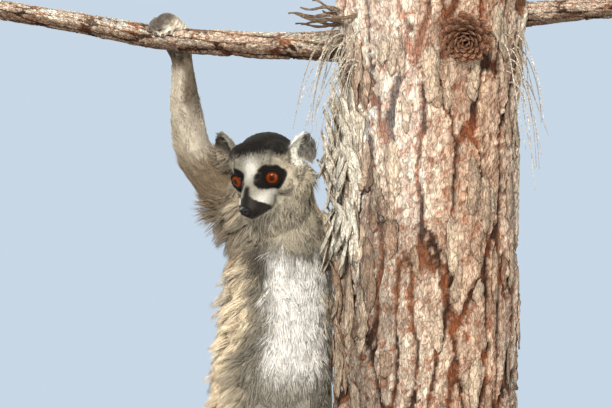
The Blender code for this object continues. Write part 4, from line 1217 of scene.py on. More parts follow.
def bark_relief(u, v, wrap, size, seed):
    """Height from 0 to 1 and colour of flaky bark: tall plates in ragged steps, pitted, with rusty grooves between.

    Plates are cells of noise drawn out along the wood, their edges bent by softer noise; on them smaller cells are
    cut off at four levels, the higher the paler.
    """
    place = np.stack([np.cos(u / wrap * 2 * math.pi), np.sin(u / wrap * 2 * math.pi), 0 * u], -1) * wrap / (2 * math.pi)
    place = (place + np.stack([0 * v, 0 * v, v], -1)).reshape(-1, 3)

    def soft(scale, stretch, k):
        return waves(place * (1, 1, stretch), scale * size, seed + k).reshape(u.shape)

    broad, drift, ragged, fine = soft(0.050, 0.35, 0), soft(0.014, 0.4, 1), soft(0.0055, 0.6, 2), soft(0.0026, 0.6, 3)
    uu = u + size * (0.007 * broad + 0.0028 * drift + 0.0015 * ragged)
    vv = v + size * (0.012 * drift + 0.008 * ragged)
    f1, f2, tone = cells(uu % wrap, vv, 0.024 * size, 0.125 * size, seed, wrap)
    plate = step(f2 - f1, 0.04, 0.20)
    g1, g2, flake = cells((uu + 0.002 * size * ragged) % wrap, vv, 0.0085 * size, 0.024 * size, seed + 5, wrap)
    chip = step(g2 - g1, 0.01, 0.14)
    level = np.floor(np.clip(0.75 * flake + 0.25 * drift + 0.22 * broad + 0.12, 0, 0.999) * 4) / 4
    pits = step(fine + 0.5 * ragged, -0.25, -0.9)
    height = plate * (0.40 + 0.16 * tone + 0.44 * level * (0.50 + 0.50 * chip) - 0.16 * pits + 0.06 * fine)
    height = height + (1 - plate) * (0.08 + 0.08 * ragged)
    cream, tan, grey = np.array((0.78, 0.68, 0.54)), np.array((0.42, 0.32, 0.24)), np.array((0.40, 0.34, 0.28))
    rust, dark = np.array((0.26, 0.100, 0.045)), np.array((0.045, 0.024, 0.015))
    col = mix(tan, cream, np.clip(1.30 * level - 0.16 + 0.20 * fine, 0, 1)[..., None])
    col = mix(col, grey, (0.7 * step(tone + 0.3 * drift, 0.45, 0.85) * (1 - 0.7 * level))[..., None])
    rusty = np.clip(0.70 * pits + 0.65 * (1 - chip) + 0.5 * step(drift - level, 0.1, 0.8), 0, 0.9)
    col = mix(col, rust, rusty[..., None])
    groove = mix(dark, rust, (0.8 * step(drift + 0.5 * ragged, -0.4, 0.6))[..., None])
    return height, mix(groove, col, step(plate, 0.25, 0.85)[..., None])


def bark_tube(rows, around, along, depth, size, seed):
    """Round of wood: radius(angle, length) = the path's own radius plus depth times the bark's height.

    The upper side is painted paler and the underside darker: painted light and shade.
    """
    rows = curve_through(rows, 12)
    length = np.concatenate([[0], np.cumsum(np.linalg.norm(np.diff(rows[:, :3], axis=0), axis=1))])
    s = np.linspace(0, length[-1], along)
    rows = np.stack([np.interp(s, length, rows[:, k]) for k in range(4)], -1)
    run = unit(np.gradient(rows[:, :3], axis=0))
    side = unit(np.cross(run, (0, 0, 1.0)))
    other = np.cross(run, side)
    turn = np.arange(around) * 2 * math.pi / around
    wrap = 2 * math.pi * rows[:, 3].mean()
    u, v = np.meshgrid(turn / (2 * math.pi) * wrap, s)
    height, col = bark_relief(u, v, wrap, size, seed)
    high = (np.sin(turn) * np.sign(other[0, 2]))[None] + 0.25 * waves(np.stack([u, v, 0 * u], -1).reshape(-1, 3), 0.02,
                                                                     seed + 9).reshape(u.shape)
    # painted light on the upper side and painted shade on the underside
    pale, shade = step(high, -0.1, 0.5)[..., None], step(high, 0.05, -0.55)[..., None]
    col = mix(col, np.clip(col * 1.40 + (0.07, 0.055, 0.04), 0, 0.80), pale)
    col = mix(col, col * (0.36, 0.30, 0.26), shade)
    # painted shade on the branch where it leaves the trunk
    shade_at_fork = np.exp(-((rows[:, 0] - TRUNK_X - 0.010) / 0.045) ** 2)[:, None, None]
    col = mix(col, col * (0.46, 0.40, 0.36), shade_at_fork * 0.9)
    return rows, run, side, other, turn, rows[:, 3:4] + depth * (height - 0.62), col


def wood_piece(name, node, rows, run, side, other, turn, radius, col):
    """Skins the rows of a bark surface and closes both ends with cut faces that show the yearly rings."""
    along, around = radius.shape
    ring = np.cos(turn)[None, :, None] * side[:, None] + np.sin(turn)[None, :, None] * other[:, None]
    verts = rows[:, None, :3] + ring * radius[..., None]
    faces = [grid_faces(along, around, wrap=True)]
    cut_rows, cut_cols = [], []
    k, k1 = np.arange(around), (np.arange(around) + 1) % around
    total = along * around
    for end, sign in ((0, -1), (along - 1, 1)):
        previous = end * around
        for j, share in enumerate((0.93, 0.80, 0.62, 0.44, 0.26, 0.10)):
            dip = 0.0006 * math.sin(7 * j)
            cut_rows.append(rows[end, :3] + ring[end] * (radius[end] * share)[:, None] - run[end] * sign * dip)
            tone = 0.85 + 0.25 * (j % 2)
            wood = np.array((0.50, 0.34, 0.19)) * tone if j else np.array((0.24, 0.13, 0.07))
            cut_cols.append(np.tile(wood, (around, 1)))
            a, b = previous + k, previous + k1
            c, d = total + k1, total + k
            faces.append(np.stack([a, b, c, d] if sign > 0 else [b, a, d, c], -1))
            previous = total
            total += around
        cut_rows.append(rows[end, :3][None])
        cut_cols.append(np.array([[0.33, 0.20, 0.11]]))
        faces.append(np.stack([previous + k, previous + k1, np.full(around, total)] if sign > 0 else
                              [previous + k1, previous + k, np.full(around, total)], -1))
        total += 1
    obj = new_piece(name, np.vstack([verts.reshape(-1, 3)] + cut_rows), faces)
    paint(obj, "coat", np.vstack([col.reshape(-1, 3)] + cut_cols))
    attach(obj, "root")
    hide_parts(node)
    return obj


def make_trunk():
    """The trunk follows the solid's own outline, height by height and angle by angle."""
    p = corners("perch_trunk")
    low, high = p[:, 2].min(), p[:, 2].max()
    centre = middle("perch_trunk")
    around, along = 236, 350
    zs = np.linspace(low, high, along)
    turn = np.arange(around) * 2 * math.pi / around
    own = np.arctan2(p[:, 1] - centre[1], p[:, 0] - centre[0])
    out = np.hypot(p[:, 1] - centre[1], p[:, 0] - centre[0])
    shell = out > 0.055
    own, out, pz = own[shell], out[shell], p[shell, 2]
    grid_z, grid_t = np.linspace(low, high, 26), np.arange(30) * 2 * math.pi / 30
    coarse = np.zeros((26, 30))
    for i, z in enumerate(grid_z):
        for j, t in enumerate(grid_t):
            gap = np.abs((own - t + math.pi) % (2 * math.pi) - math.pi) * 0.075
            weight = 1 / (gap ** 2 + (pz - z) ** 2 * 0.5 + 2e-5) ** 2
            coarse[i, j] = (weight * out).sum() / weight.sum()
    wrapped = np.hstack([coarse, coarse[:, :1]])
    across = np.array([np.interp(turn, np.append(grid_t, 2 * math.pi), row) for row in wrapped])
    base = np.array([np.interp(zs, grid_z, across[:, k]) for k in range(around)]).T
    wrap = 2 * math.pi * base.mean()
    u, v = np.meshgrid(turn / (2 * math.pi) * wrap, zs)
    height, col = bark_relief(u, v, wrap, 1.0, 5)
    radius = base + 6.5 * MM * (height - 0.68)
    # a tall loose slab stands out on the side next to the animal, with a groove in front of it
    lean = turn[None] + (0.05 * np.sin(31 * zs) + 0.03 * np.sin(83 * zs + 1) - 0.10 * np.sin(9 * zs))[:, None]
    slab = step(lean, math.radians(140), math.radians(162)) * step(lean, math.radians(197), math.radians(190))
    slab = slab * step(zs, 0.685, 0.640)[:, None]
    groove = np.exp(-((lean - math.radians(199)) / 0.050) ** 2) * step(zs, 0.70, 0.64)[:, None]
    radius = radius + (7.5 * slab - 3.5 * groove) * MM
    # the groove is painted darker: painted shade
    col = mix(col, col * (0.30, 0.24, 0.20), (0.8 * groove)[..., None])
    rows = np.stack([0 * zs + centre[0], 0 * zs + centre[1], zs, base.mean(1)], -1)
    run = np.tile([0, 0, 1.0], (along, 1))
    side, other = np.tile([1.0, 0, 0], (along, 1)), np.tile([0, 1.0, 0], (along, 1))
    # painted light: paler down the side next to the animal and on the side facing the key lamp; rustier at the far side
    painted_light = np.exp(-(off_angle(turn, 212) / 0.42) ** 2)[None] * step(zs, 0.52, 0.60)[:, None]
    facing = np.exp(-(off_angle(turn, 246) / 0.34) ** 2)
    painted_light = np.maximum(painted_light, 0.85 * facing[None] * step(zs, 0.56, 0.63)[:, None])
    col = mix(col, np.clip(col * 1.45 + 0.12, 0, 0.84), np.clip(1.15 * painted_light, 0, 1)[..., None])
    # painted shade on the trunk beside the animal's body, below its shoulders
    painted_shade_band = np.exp(-((lean - math.radians(224)) / 0.20) ** 2) * step(zs, 0.63, 0.60)[:, None]
    col = mix(col, col * (0.42, 0.38, 0.36), (0.8 * painted_shade_band)[..., None])
    ruddy = np.exp(-(off_angle(turn, 300) / 0.55) ** 2)[None]
    col = mix(col, col * (0.92, 0.70, 0.58), ruddy[..., None] * 0.8)
    piece = wood_piece("trunk_bark", "perch_trunk", rows, run, side, other, turn, radius, col)
    return piece, radius, col[:, :around], zs, centre


def make_branch(name, node, path, around, along, depth, size, seed):
    """Branch bark on the part of the path that the solid really covers."""
    low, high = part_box(node)
    rows = path[np.argsort(path[:, 0])]
    keep = np.clip(np.linspace(rows[0, 0], rows[-1, 0], 24), low[0] + 0.2 * MM, high[0] - 0.2 * MM)
    rows = np.stack([np.interp(keep, rows[:, 0], rows[:, k]) for k in range(4)], -1)
    rows = rows[np.concatenate([[True], np.diff(keep) > 1e-4])]
    rows[:, 0] = np.unique(keep)[:len(rows)]
    return wood_piece(name, node, *bark_tube(rows, around, along, depth, size, seed))


trunk, trunk_radius, trunk_colour, trunk_z, trunk_middle = make_trunk()
branches = [make_branch("branch_upper_bark", "perch_branch_upper", UPPER_BRANCH, 72, 390, 2.4 * MM, 0.42, 21),
            make_branch("branch_lower_bark", "perch_branch_lower", LOWER_BRANCH, 72, 220, 2.2 * MM, 0.45, 22),
            make_branch("stub_bark", "perch_stub", STUB, 72, 130, 1.8 * MM, 0.38, 23)]


def bark_slabs(count):
    """Loose flakes of bark: thin closed plates, bent round the trunk, ragged at the rim and lifted at one end.

    A plate is a grid over angle and height; its outline is a long oval made ragged by steps, and its standing off
    the trunk grows as the square of the distance from the end that still holds.  Its colour is mixed from the bark
    beneath and a paler wood; the loosest flakes, next to the animal, are palest.
    """
    turn = np.random.default_rng(77)
    all_verts, all_faces, all_cols, start = [], [], [], 0
    rows, cols = 9, 4
    around = trunk_radius.shape[1]
    for k in range(count):
        loose, left_edge = k < count * 0.22, k < count * 0.38
        angle = turn.uniform(math.radians(160), math.radians(225)) if left_edge else turn.uniform(0, 2 * math.pi)
        z = turn.uniform(0.47, 0.72) if left_edge else turn.uniform(0.11, 0.765)
        tall, wide = turn.uniform(0.018, 0.050), turn.uniform(0.0030, 0.0070)
        if loose:
            angle, z = turn.uniform(math.radians(166), math.radians(214)), turn.uniform(0.570, 0.675)
            tall, wide = turn.uniform(0.040, 0.085), turn.uniform(0.0022, 0.0070)
        elif left_edge:
            tall, wide = tall * 1.25, wide * 1.15
        v = np.linspace(-1, 1, rows)[:, None]
        u = np.linspace(-1, 1, cols)[None]
        jag = np.clip(np.cumsum(turn.normal(0, 0.22, (2, rows)), axis=1), -0.45, 0.45)
        ragged = np.where(u < 0, 1 + jag[0][:, None], 1 + jag[1][:, None])
        half = np.sqrt(np.clip(1 - np.abs(v) ** turn.uniform(2.5, 6.0), 0.02, 1)) * ragged
        theta = angle + u * half * wide / 0.075 + 0.03 * turn.uniform(-1, 1) * v
        height = np.clip(z + v * tall / 2 + turn.uniform(-0.4, 0.4) * wide * u, trunk_z[0], trunk_z[-1] - 0.002)
        j = np.round(theta / (2 * math.pi) * around).astype(int) % around
        i = np.clip(np.searchsorted(trunk_z, height), 0, len(trunk_z) - 1)
        ground = 0.5 * trunk_radius[i, j] + 0.5 * np.quantile(trunk_radius[i, j], 0.7)
        free = turn.choice([-1, 1])
        lift = turn.uniform(*((3, 17) if loose else (0.5, 5.5) if left_edge else (0, 1.6))) * MM
        off = 0.1 * MM + lift * np.clip((v * free + 1) / 2, 0, 1) ** 2 + 0.25 * MM * np.sin(2.5 * u + 3 * v + k)
        thick = turn.uniform(0.5, 1.1) * MM
        layers = [np.stack([trunk_middle[0] + r * np.cos(theta), trunk_middle[1] + r * np.sin(theta), height], -1)
                  for r in (ground + off + thick, ground + off - 0.2 * MM)]
        verts = np.vstack([layer.reshape(-1, 3) for layer in layers])
        n = rows * cols
        quads = grid_faces(rows, cols)
        rim = rim_of(rows, cols)
        nxt = np.roll(rim, -1)
        faces = np.vstack([quads, quads[:, ::-1] + n, np.stack([nxt, rim, rim + n, nxt + n], -1)])
        own = np.median(trunk_colour[i, j].reshape(-1, 3), axis=0)
        pale = mix(np.array((0.26, 0.165, 0.11)), np.array((0.62, 0.50, 0.36)), turn.uniform(0, 1) ** 0.8)
        tone = np.array((0.88, 0.80, 0.66)) * turn.uniform(0.8, 1.05) if loose else mix(own, pale, 0.7)
        # painted shade along the flakes' long rims
        rim_shade = np.tile((1 - 0.20 * (np.abs(u) > 0.9) + 0 * v).ravel(), 2)[:, None]
        col = tone * (1 + 0.28 * waves(verts, 0.0032, 60)[:, None]) * rim_shade
        col[n:] = np.array((0.50, 0.42, 0.32)) if loose else np.array((0.14, 0.070, 0.038))
        all_verts.append(verts)
        all_faces.append(faces + start)
        all_cols.append(col)
        start += len(verts)
    obj = new_piece("bark_slabs", np.vstack(all_verts), np.vstack(all_faces))
    paint(obj, "coat", np.vstack(all_cols))
    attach(obj, "root")
    return obj


slabs = bark_slabs(430)


def nails():
    """A flat dark nail on the end of every digit, long and narrow on each second toe, as one mesh.

    A nail is a ball flattened across the digit and drawn out along it, its far edge a little hooked.
    """
    verts, faces, start = [], [], 0
    for name, (_, digits) in PAWS.items():
        path = {"hand_right": UPPER_BRANCH, "hand_left": None}.get(name, LOWER_BRANCH)
        for k, chain in enumerate(digits):
            chain = np.array(chain)
            tip, before, r = chain[-1, :3], chain[-2, :3], chain[-1, 3]
            way = unit(tip - before)
            if path is None:
                heart = np.array([TRUNK_X, 0, tip[2]])
            else:
                order = np.argsort(path[:, 0])
                heart = np.array([tip[0]] + [np.interp(tip[0], path[order, 0], path[order, c]) for c in (1, 2)])
            out = unit(tip - heart)
            out = unit(out - way * (out @ way))
            comb = name.startswith("foot") and k == 1
            size = np.array([2.5 if comb else 2.0, 0.85 if comb else 1.35, 0.50]) * MM * (r / 0.0026)
            p = small_ball(0.05) * size
            p[:, 2] -= 0.16 * (p[:, 0] / size[0] + 0.2) ** 2 * size[0] + 0.22 * p[:, 1] ** 2 / size[1]
            at = tip + out * r * 0.93 + way * r * 0.45
            ring = at + p @ np.array([way, np.cross(out, way), out])
            count = len(ring)
            verts.append(np.vstack([ring, ring[:12].mean(0), ring[-12:].mean(0)]))
            faces += [f + start for f in [grid_faces(9, 12, wrap=True)[:, ::-1]] + end_fans(count, 12)]
            start += count + 2
    obj = new_piece("nails", np.vstack(verts), faces)
    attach(obj, "root")
    return obj


claws = nails()


def join_parts(name, parts):
    """One mesh from (points, faces, colour) groups, riding with the part."""
    verts = np.vstack([v for v, _, _ in parts])
    faces, start = [], 0
    for v, groups, _ in parts:
        faces += [g + start for g in groups]
        start += len(v)
    obj = new_piece(name, verts, faces)
    paint(obj, "coat", np.vstack([np.broadcast_to(c, v.shape) for v, _, c in parts]))
    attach(obj, "root")
    return obj


def thread(path, radii, cols=6):
    """Points and faces of a closed round thread: a small circle carried along the path."""
    run = unit(np.gradient(path, axis=0))
    side = unit(np.cross(run, run[0] + (0.31, 0.17, 0.93)))
    lon = np.arange(cols)[:, None] * 2 * math.pi / cols
    ring = np.cos(lon) * side[:, None] + np.sin(lon) * np.cross(run, side)[:, None]
    ends = np.stack([np.arange(cols)[::-1], (len(path) - 1) * cols + np.arange(cols)])
    return (path[:, None] + ring * radii[:, None, None]).reshape(-1, 3), [grid_faces(len(path), cols, wrap=True), ends]


NEEDLES, TWIGS = 50, 8


def litter():
    """Dry needles and short broken twigs caught where the branches leave the trunk.

    Each starts inside the bark at its own angle and height.  A needle goes out as t, falls as t to the power 1.7 and
    curls by a sine; a twig goes out nearly level and tapers.
    """
    turn = np.random.default_rng(41)
    parts = []
    for k in range(NEEDLES + TWIGS):
        twig, left_side = k >= NEEDLES, k % 3 != 2
        angle = math.radians(turn.uniform(186, 222) if left_side or twig else turn.uniform(318, 352))
        z = turn.uniform(0.752, 0.768) if twig else turn.uniform(0.705, 0.758)
        start = np.array([trunk_middle[0] + 0.073 * math.cos(angle), trunk_middle[1] + 0.073 * math.sin(angle), z])
        t = np.linspace(0, 1, 16)[:, None]
        if twig:
            reach = np.array([-turn.uniform(0.020, 0.048), -turn.uniform(0.0, 0.020), turn.uniform(-0.002, 0.012)])
            path = start + t * reach + 0.0015 * np.sin(9 * t + k) * (0, 1, 1)
            radii = np.linspace(turn.uniform(1.8, 2.8), 0.7, 16) * MM * (1 + 0.16 * np.sin(np.arange(16) * 2.2 + k))
            colour = mix(np.array((0.10, 0.060, 0.038)), np.array((0.30, 0.21, 0.14)), turn.uniform(0, 1))
        else:
            side = -1 if left_side else 1
            reach = np.array([side * turn.uniform(0.012, 0.050 if left_side else 0.030),
                              turn.uniform(-0.020, 0.004), 0])
            fall = turn.uniform(0.030, 0.092) * t ** 1.7 - turn.uniform(0, 0.012) * np.sin(math.pi * t)
            path = start + t ** 0.8 * reach - fall * (0, 0, 1) + 0.003 * np.sin(5 * t + k) * t * (1, 0.6, 0)
            radii = np.linspace(turn.uniform(0.45, 0.75), 0.18, 16) * MM
            colour = mix(np.array((0.34, 0.24, 0.15)), np.array((0.86, 0.78, 0.64)), turn.uniform(0, 1) ** 0.6)
        parts.append((*thread(path, radii), colour))
    return join_parts("litter", parts)


GOLDEN_ANGLE, CONE_SCALES = 2.39996, 62


def cone():
    """Open pine cone on the front of the trunk: scales set at the golden angle round its axis, wider apart outwards."""
    axis = unit(np.array([-0.12, -0.92, -0.38]))
    first = unit(np.cross(axis, (0, 0, 1.0)))
    second = np.cross(axis, first)
    heart = np.array([0.0725, -0.0855, 0.7425])
    ball_points = small_ball(0.03)
    groups = [grid_faces(9, 12, wrap=True)[:, ::-1], np.stack([np.arange(12), 96 + np.arange(12)[::-1]])]
    parts = [(heart + ball_points * 14 * MM, groups, np.array((0.045, 0.024, 0.015)))]
    for k in range(CONE_SCALES):
        polar, around = math.pi * (0.05 + 0.66 * (k + 0.5) / CONE_SCALES), k * GOLDEN_ANGLE
        out = math.cos(polar) * axis + math.sin(polar) * (math.cos(around) * first + math.sin(around) * second)
        wide = unit(-math.sin(around) * first + math.cos(around) * second)
        out = unit(out + 0.45 * axis)
        wide = unit(wide - out * (wide @ out))
        size = np.array([7.4, 4.7, 1.2]) * MM * (0.58 + 0.42 * math.sin(polar))
        p = ball_points * size
        p[:, 2] += 0.10 * p[:, 0] ** 2 / size[0]
        reach = (p[:, 0] / size[0] * 0.5 + 0.5)[:, None]
        colour = mix(np.array((0.045, 0.018, 0.010)), np.array((0.34, 0.165, 0.095)), reach ** 1.5)
        parts.append((heart + out * 15.5 * MM + p @ np.array([out, wide, np.cross(out, wide)]), groups, colour))
    return join_parts("pine_cone", parts)


loose_bits = [litter(), cone()]
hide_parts(*BODY_NODES, *PAW_NODES, "head", "ear_left", "ear_right")
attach(skin, "root")

# ================================================================ materials

def new_group(name, inputs, outputs):
    """An empty node group with its sockets: group, nodes, links, input node and output node."""
    group = bpy.data.node_groups.new(name, "ShaderNodeTree")
    for label, kind, value in inputs:
        socket = group.interface.new_socket(label, in_out="INPUT", socket_type=kind)
        if value is not None:
            socket.default_value = value
    for label, kind in outputs:
        group.interface.new_socket(label, in_out="OUTPUT", socket_type=kind)
    return group, group.nodes, group.links, group.nodes.new("NodeGroupInput"), group.nodes.new("NodeGroupOutput")


def spread_of(nodes, links, source, low, high, dark, light):
    """Maps a value from low..high to dark..light; each end is a number or a socket."""
    spread = nodes.new("ShaderNodeMapRange")
    links.new(source, spread.inputs["Value"])
    for label, value in (("From Min", low), ("From Max", high), ("To Min", dark), ("To Max", light)):
        if isinstance(value, (int, float)):
            spread.inputs[label].default_value = value
        else:
            links.new(value, spread.inputs[label])
    return spread.outputs["Result"]


def scaled(nodes, links, colour, by):
    """Colour times a value."""
    scale = nodes.new("ShaderNodeVectorMath")
    scale.operation = "SCALE"
    links.new(colour, scale.inputs[0])
    links.new(by, scale.inputs["Scale"])
    return scale.outputs["Vector"]


def grain_group():
    """Fine grain: noise at the given scale darkens and lightens the colour and gives a height."""
    group, nodes, links, given, out = new_group(
        "fine_grain", (("Colour", "NodeSocketColor", (0.5, 0.5, 0.5, 1)), ("Place", "NodeSocketVector", None),
                       ("Scale", "NodeSocketFloat", 500.0), ("Dark", "NodeSocketFloat", 0.8),
                       ("Light", "NodeSocketFloat", 1.2)),
        (("Colour", "NodeSocketColor"), ("Height", "NodeSocketFloat")))
    noise = nodes.new("ShaderNodeTexNoise")
    noise.inputs["Detail"].default_value = 4.0
    links.new(given.outputs["Place"], noise.inputs["Vector"])
    links.new(given.outputs["Scale"], noise.inputs["Scale"])
    factor = spread_of(nodes, links, noise.outputs["Fac"], 0.30, 0.70, given.outputs["Dark"], given.outputs["Light"])
    links.new(scaled(nodes, links, given.outputs["Colour"], factor), out.inputs["Colour"])
    links.new(noise.outputs["Fac"], out.inputs["Height"])
    return group


def flake_group():
    """Flaky wood: cells, each of its own tone, with dark seams between them and speckles on them, and a height."""
    group, nodes, links, given, out = new_group(
        "bark_flakes", (("Colour", "NodeSocketColor", (0.5, 0.5, 0.5, 1)), ("Place", "NodeSocketVector", None),
                        ("Scale", "NodeSocketFloat", 200.0), ("Seam", "NodeSocketFloat", 0.35)),
        (("Colour", "NodeSocketColor"), ("Height", "NodeSocketFloat")))
    bend = nodes.new("ShaderNodeTexNoise")
    links.new(given.outputs["Place"], bend.inputs["Vector"])
    links.new(given.outputs["Scale"], bend.inputs["Scale"])
    bend.inputs["Detail"].default_value = 3.0
    shift = nodes.new("ShaderNodeVectorMath")
    shift.operation = "MULTIPLY_ADD"
    links.new(bend.outputs["Color"], shift.inputs[0])
    shift.inputs[1].default_value = (0.006, 0.006, 0.006)
    links.new(given.outputs["Place"], shift.inputs[2])
    cell, seam = nodes.new("ShaderNodeTexVoronoi"), nodes.new("ShaderNodeTexVoronoi")
    seam.feature = "DISTANCE_TO_EDGE"
    for node in (cell, seam):
        links.new(shift.outputs["Vector"], node.inputs["Vector"])
        links.new(given.outputs["Scale"], node.inputs["Scale"])
    own = nodes.new("ShaderNodeSeparateColor")
    links.new(cell.outputs["Color"], own.inputs["Color"])
    tone = spread_of(nodes, links, own.outputs["Red"], 0.0, 1.0, 0.70, 1.26)
    crack = spread_of(nodes, links, seam.outputs["Distance"], 0.0, 0.09, given.outputs["Seam"], 1.0)
    finer = nodes.new("ShaderNodeMath")
    finer.operation = "MULTIPLY"
    finer.inputs[1].default_value = 3.1
    links.new(given.outputs["Scale"], finer.inputs[0])
    noise = nodes.new("ShaderNodeTexNoise")
    noise.inputs["Detail"].default_value = 5.0
    links.new(given.outputs["Place"], noise.inputs["Vector"])
    links.new(finer.outputs["Value"], noise.inputs["Scale"])
    speck = spread_of(nodes, links, noise.outputs["Fac"], 0.30, 0.68, 0.62, 1.22)
    first, second = nodes.new("ShaderNodeMath"), nodes.new("ShaderNodeMath")
    first.operation = second.operation = "MULTIPLY"
    links.new(tone, first.inputs[0])
    links.new(crack, first.inputs[1])
    links.new(first.outputs["Value"], second.inputs[0])
    links.new(speck, second.inputs[1])
    links.new(scaled(nodes, links, given.outputs["Colour"], second.outputs["Value"]), out.inputs["Colour"])
    links.new(second.outputs["Value"], out.inputs["Height"])
    return group


GRAIN, FLAKES = grain_group(), flake_group()


def material(name, rough, metal=0.0):
    """A plain material and the parts that the others build on: material, nodes, links and shader."""
    mat = bpy.data.materials.new(name)
    mat.use_nodes = True
    nodes, links = mat.node_tree.nodes, mat.node_tree.links
    shader = nodes["Principled BSDF"]
    shader.inputs["Roughness"].default_value = rough
    shader.inputs["Metallic"].default_value = metal
    return mat, nodes, links, shader


def with_group(mat_parts, group, values, stretch=(1, 1, 1), painted="coat", bump=0.3, depth=0.0004):
    """Puts a group between the piece's painted colour and the shader, on Object coordinates, with its bump."""
    _, nodes, links, shader = mat_parts
    place, mapping, own = (nodes.new("ShaderNode" + kind) for kind in ("TexCoord", "Mapping", "Group"))
    own.node_tree = group
    mapping.inputs["Scale"].default_value = stretch
    links.new(place.outputs["Object"], mapping.inputs["Vector"])
    links.new(mapping.outputs["Vector"], own.inputs["Place"])
    for label, value in values.items():
        own.inputs[label].default_value = value
    if painted:
        colour = nodes.new("ShaderNodeAttribute")
        colour.attribute_name = painted
        links.new(colour.outputs["Color"], own.inputs["Colour"])
    links.new(own.outputs["Colour"], shader.inputs["Base Color"])
    rise = nodes.new("ShaderNodeBump")
    rise.inputs["Strength"].default_value, rise.inputs["Distance"].default_value = bump, depth
    links.new(own.outputs["Height"], rise.inputs["Height"])
    links.new(rise.outputs["Normal"], shader.inputs["Normal"])
    return own


def coat_material(name, rough, scale, bump):
    """Colour from the coat's own markings, with fine streaks of light and dark, and a soft bump."""
    parts = material(name, rough)
    with_group(parts, GRAIN, {"Scale": scale, "Dark": 0.80, "Light": 1.16}, bump=bump, depth=0.0006)
    shader = parts[3]
    shader.inputs["Specular IOR Level"].default_value = 0.08
    shader.inputs["Sheen Weight"].default_value = 0.03
    shader.inputs["Sheen Roughness"].default_value = 0.4
    return parts[0]


def bark_material(name, scale, rough, stretch, seam):
    """Colour from the wood's own paint, broken up by flakes that stand out a little."""
    parts = material(name, rough)
    with_group(parts, FLAKES, {"Scale": scale, "Seam": seam}, stretch=stretch, bump=1.0, depth=0.0016)
    parts[3].inputs["Specular IOR Level"].default_value = 0.15
    return parts[0]


def eye_material():
    """Painted iris under a clear wet front."""
    parts = material("eye", 0.07)
    with_group(parts, GRAIN, {"Scale": 2600.0, "Dark": 0.72, "Light": 1.28}, bump=0.05, depth=0.0001)
    shader = parts[3]
    shader.inputs["Specular IOR Level"].default_value = 0.04
    shader.inputs["Coat Weight"].default_value = 0.14
    shader.inputs["Coat Roughness"].default_value = 0.02
    return parts[0]


def plain_surface(name, colour, rough, metal, scale, stretch, bump, spread_by=0.12, shine=0.5):
    """A worked surface: colour varied by noise stretched along one axis, with matching bump and roughness."""
    parts = material(name, rough, metal)
    own = with_group(parts, GRAIN, {"Colour": (*colour, 1), "Scale": scale, "Dark": 1 - spread_by,
                                    "Light": 1 + spread_by}, stretch=stretch, painted=None, bump=bump)
    _, nodes, links, shader = parts
    links.new(spread_of(nodes, links, own.outputs["Height"], 0.2, 0.8, rough - 0.08, rough + 0.08),
              shader.inputs["Roughness"])
    shader.inputs["Specular IOR Level"].default_value = shine
    return parts[0]


def dress(obj, mat):
    """Gives a piece its one material."""
    obj.data.materials.clear()
    obj.data.materials.append(mat)


dress(skin, coat_material("under_coat", 0.85, 900.0, 0.5))
hair = coat_material("hair", 0.62, 500.0, 0.2)
for piece in coat:
    dress(piece, hair)
bark = bark_material("bark", 260.0, 0.90, (1.0, 1.0, 0.42), 0.60)
twig_bark = bark_material("branch_bark", 330.0, 0.88, (0.5, 1.0, 1.0), 0.50)
dress(trunk, bark)
dress(slabs, bark)
for piece in branches + loose_bits:
    dress(piece, twig_bark)
wet = eye_material()
for piece in eyes:
    dress(piece, wet)
dress(nose, plain_surface("nose_leather", (0.006, 0.0055, 0.005), 0.55, 0.0, 1500.0, (1, 1, 1), 0.6, 0.4, 0.22))
dress(claws, plain_surface("nail_horn", (0.045, 0.036, 0.030), 0.40, 0.0, 900.0, (1, 1, 1), 0.2, 0.3))
stand_paint = plain_surface("stand_paint", (0.085, 0.088, 0.09), 0.48, 0.0, 700.0, (1, 1, 1), 0.25)
rod_steel = plain_surface("rod_steel", (0.56, 0.56, 0.55), 0.32, 1.0, 260.0, (1, 1, 0.03), 0.15)
for node, mat in (("stand_base", stand_paint), ("stand_rod_left", rod_steel), ("stand_rod_right", rod_steel)):
    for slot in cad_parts[node].material_slots:
        slot.material = mat

# ================================================================ floor, light and camera

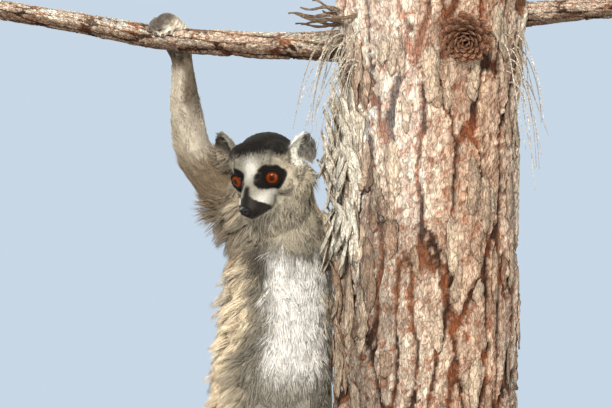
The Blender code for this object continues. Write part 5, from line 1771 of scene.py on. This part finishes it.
def set_stage():
    """Pale floor, three soft lamps, and a camera level with the head."""
    x, z = -0.060, 0.6039
    camera = bpy.data.objects.new("camera", bpy.data.cameras.new("camera"))
    camera.data.sensor_width, camera.data.lens = 36.0, 207.7
    camera.location = (x, -3.0, z)
    camera.rotation_euler = (math.pi / 2, 0, 0)
    bpy.context.scene.collection.objects.link(camera)
    bpy.context.scene.camera = camera
    floor = new_piece("floor", [(-6, -6, 0), (6, -6, 0), (6, 6, 0), (-6, 6, 0)], np.array([[0, 1, 2, 3]]))
    paper = bpy.data.materials.new("floor_paper")
    paper.use_nodes = True
    paper.node_tree.nodes["Principled BSDF"].inputs["Base Color"].default_value = (0.55, 0.55, 0.54, 1)
    paper.node_tree.nodes["Principled BSDF"].inputs["Roughness"].default_value = 0.9
    floor.data.materials.append(paper)
    for name, at, size, power in (("key", (-0.62, -2.60, 1.55), 0.5, 108), ("fill", (1.8, -1.9, 0.75), 1.6, 44),
                                  ("rim", (-1.5, 1.4, 1.9), 0.6, 75)):
        lamp = bpy.data.objects.new(name, bpy.data.lights.new(name, "AREA"))
        lamp.data.size, lamp.data.energy = size, power
        lamp.data.color = (1.0, 0.93, 0.84) if name != "fill" else (1.0, 0.96, 0.90)
        lamp.location = at
        lamp.rotation_euler = (Vector((-0.06, 0, 0.5)) - Vector(at)).to_track_quat("-Z", "Y").to_euler()
        bpy.context.scene.collection.objects.link(lamp)
    world = bpy.data.worlds.new("studio")
    world.use_nodes = True
    sky = world.node_tree.nodes["Background"]
    sky.inputs["Color"].default_value = (0.68, 0.80, 0.93, 1)
    seen = world.node_tree.nodes.new("ShaderNodeLightPath")
    power = world.node_tree.nodes.new("ShaderNodeMapRange")
    power.inputs["To Min"].default_value, power.inputs["To Max"].default_value = 0.62, 0.85
    world.node_tree.links.new(seen.outputs["Is Camera Ray"], power.inputs["Value"])
    world.node_tree.links.new(power.outputs["Result"], sky.inputs["Strength"])
    bpy.context.scene.world = world
    bpy.context.scene.view_settings.view_transform = "Standard"


set_stage()
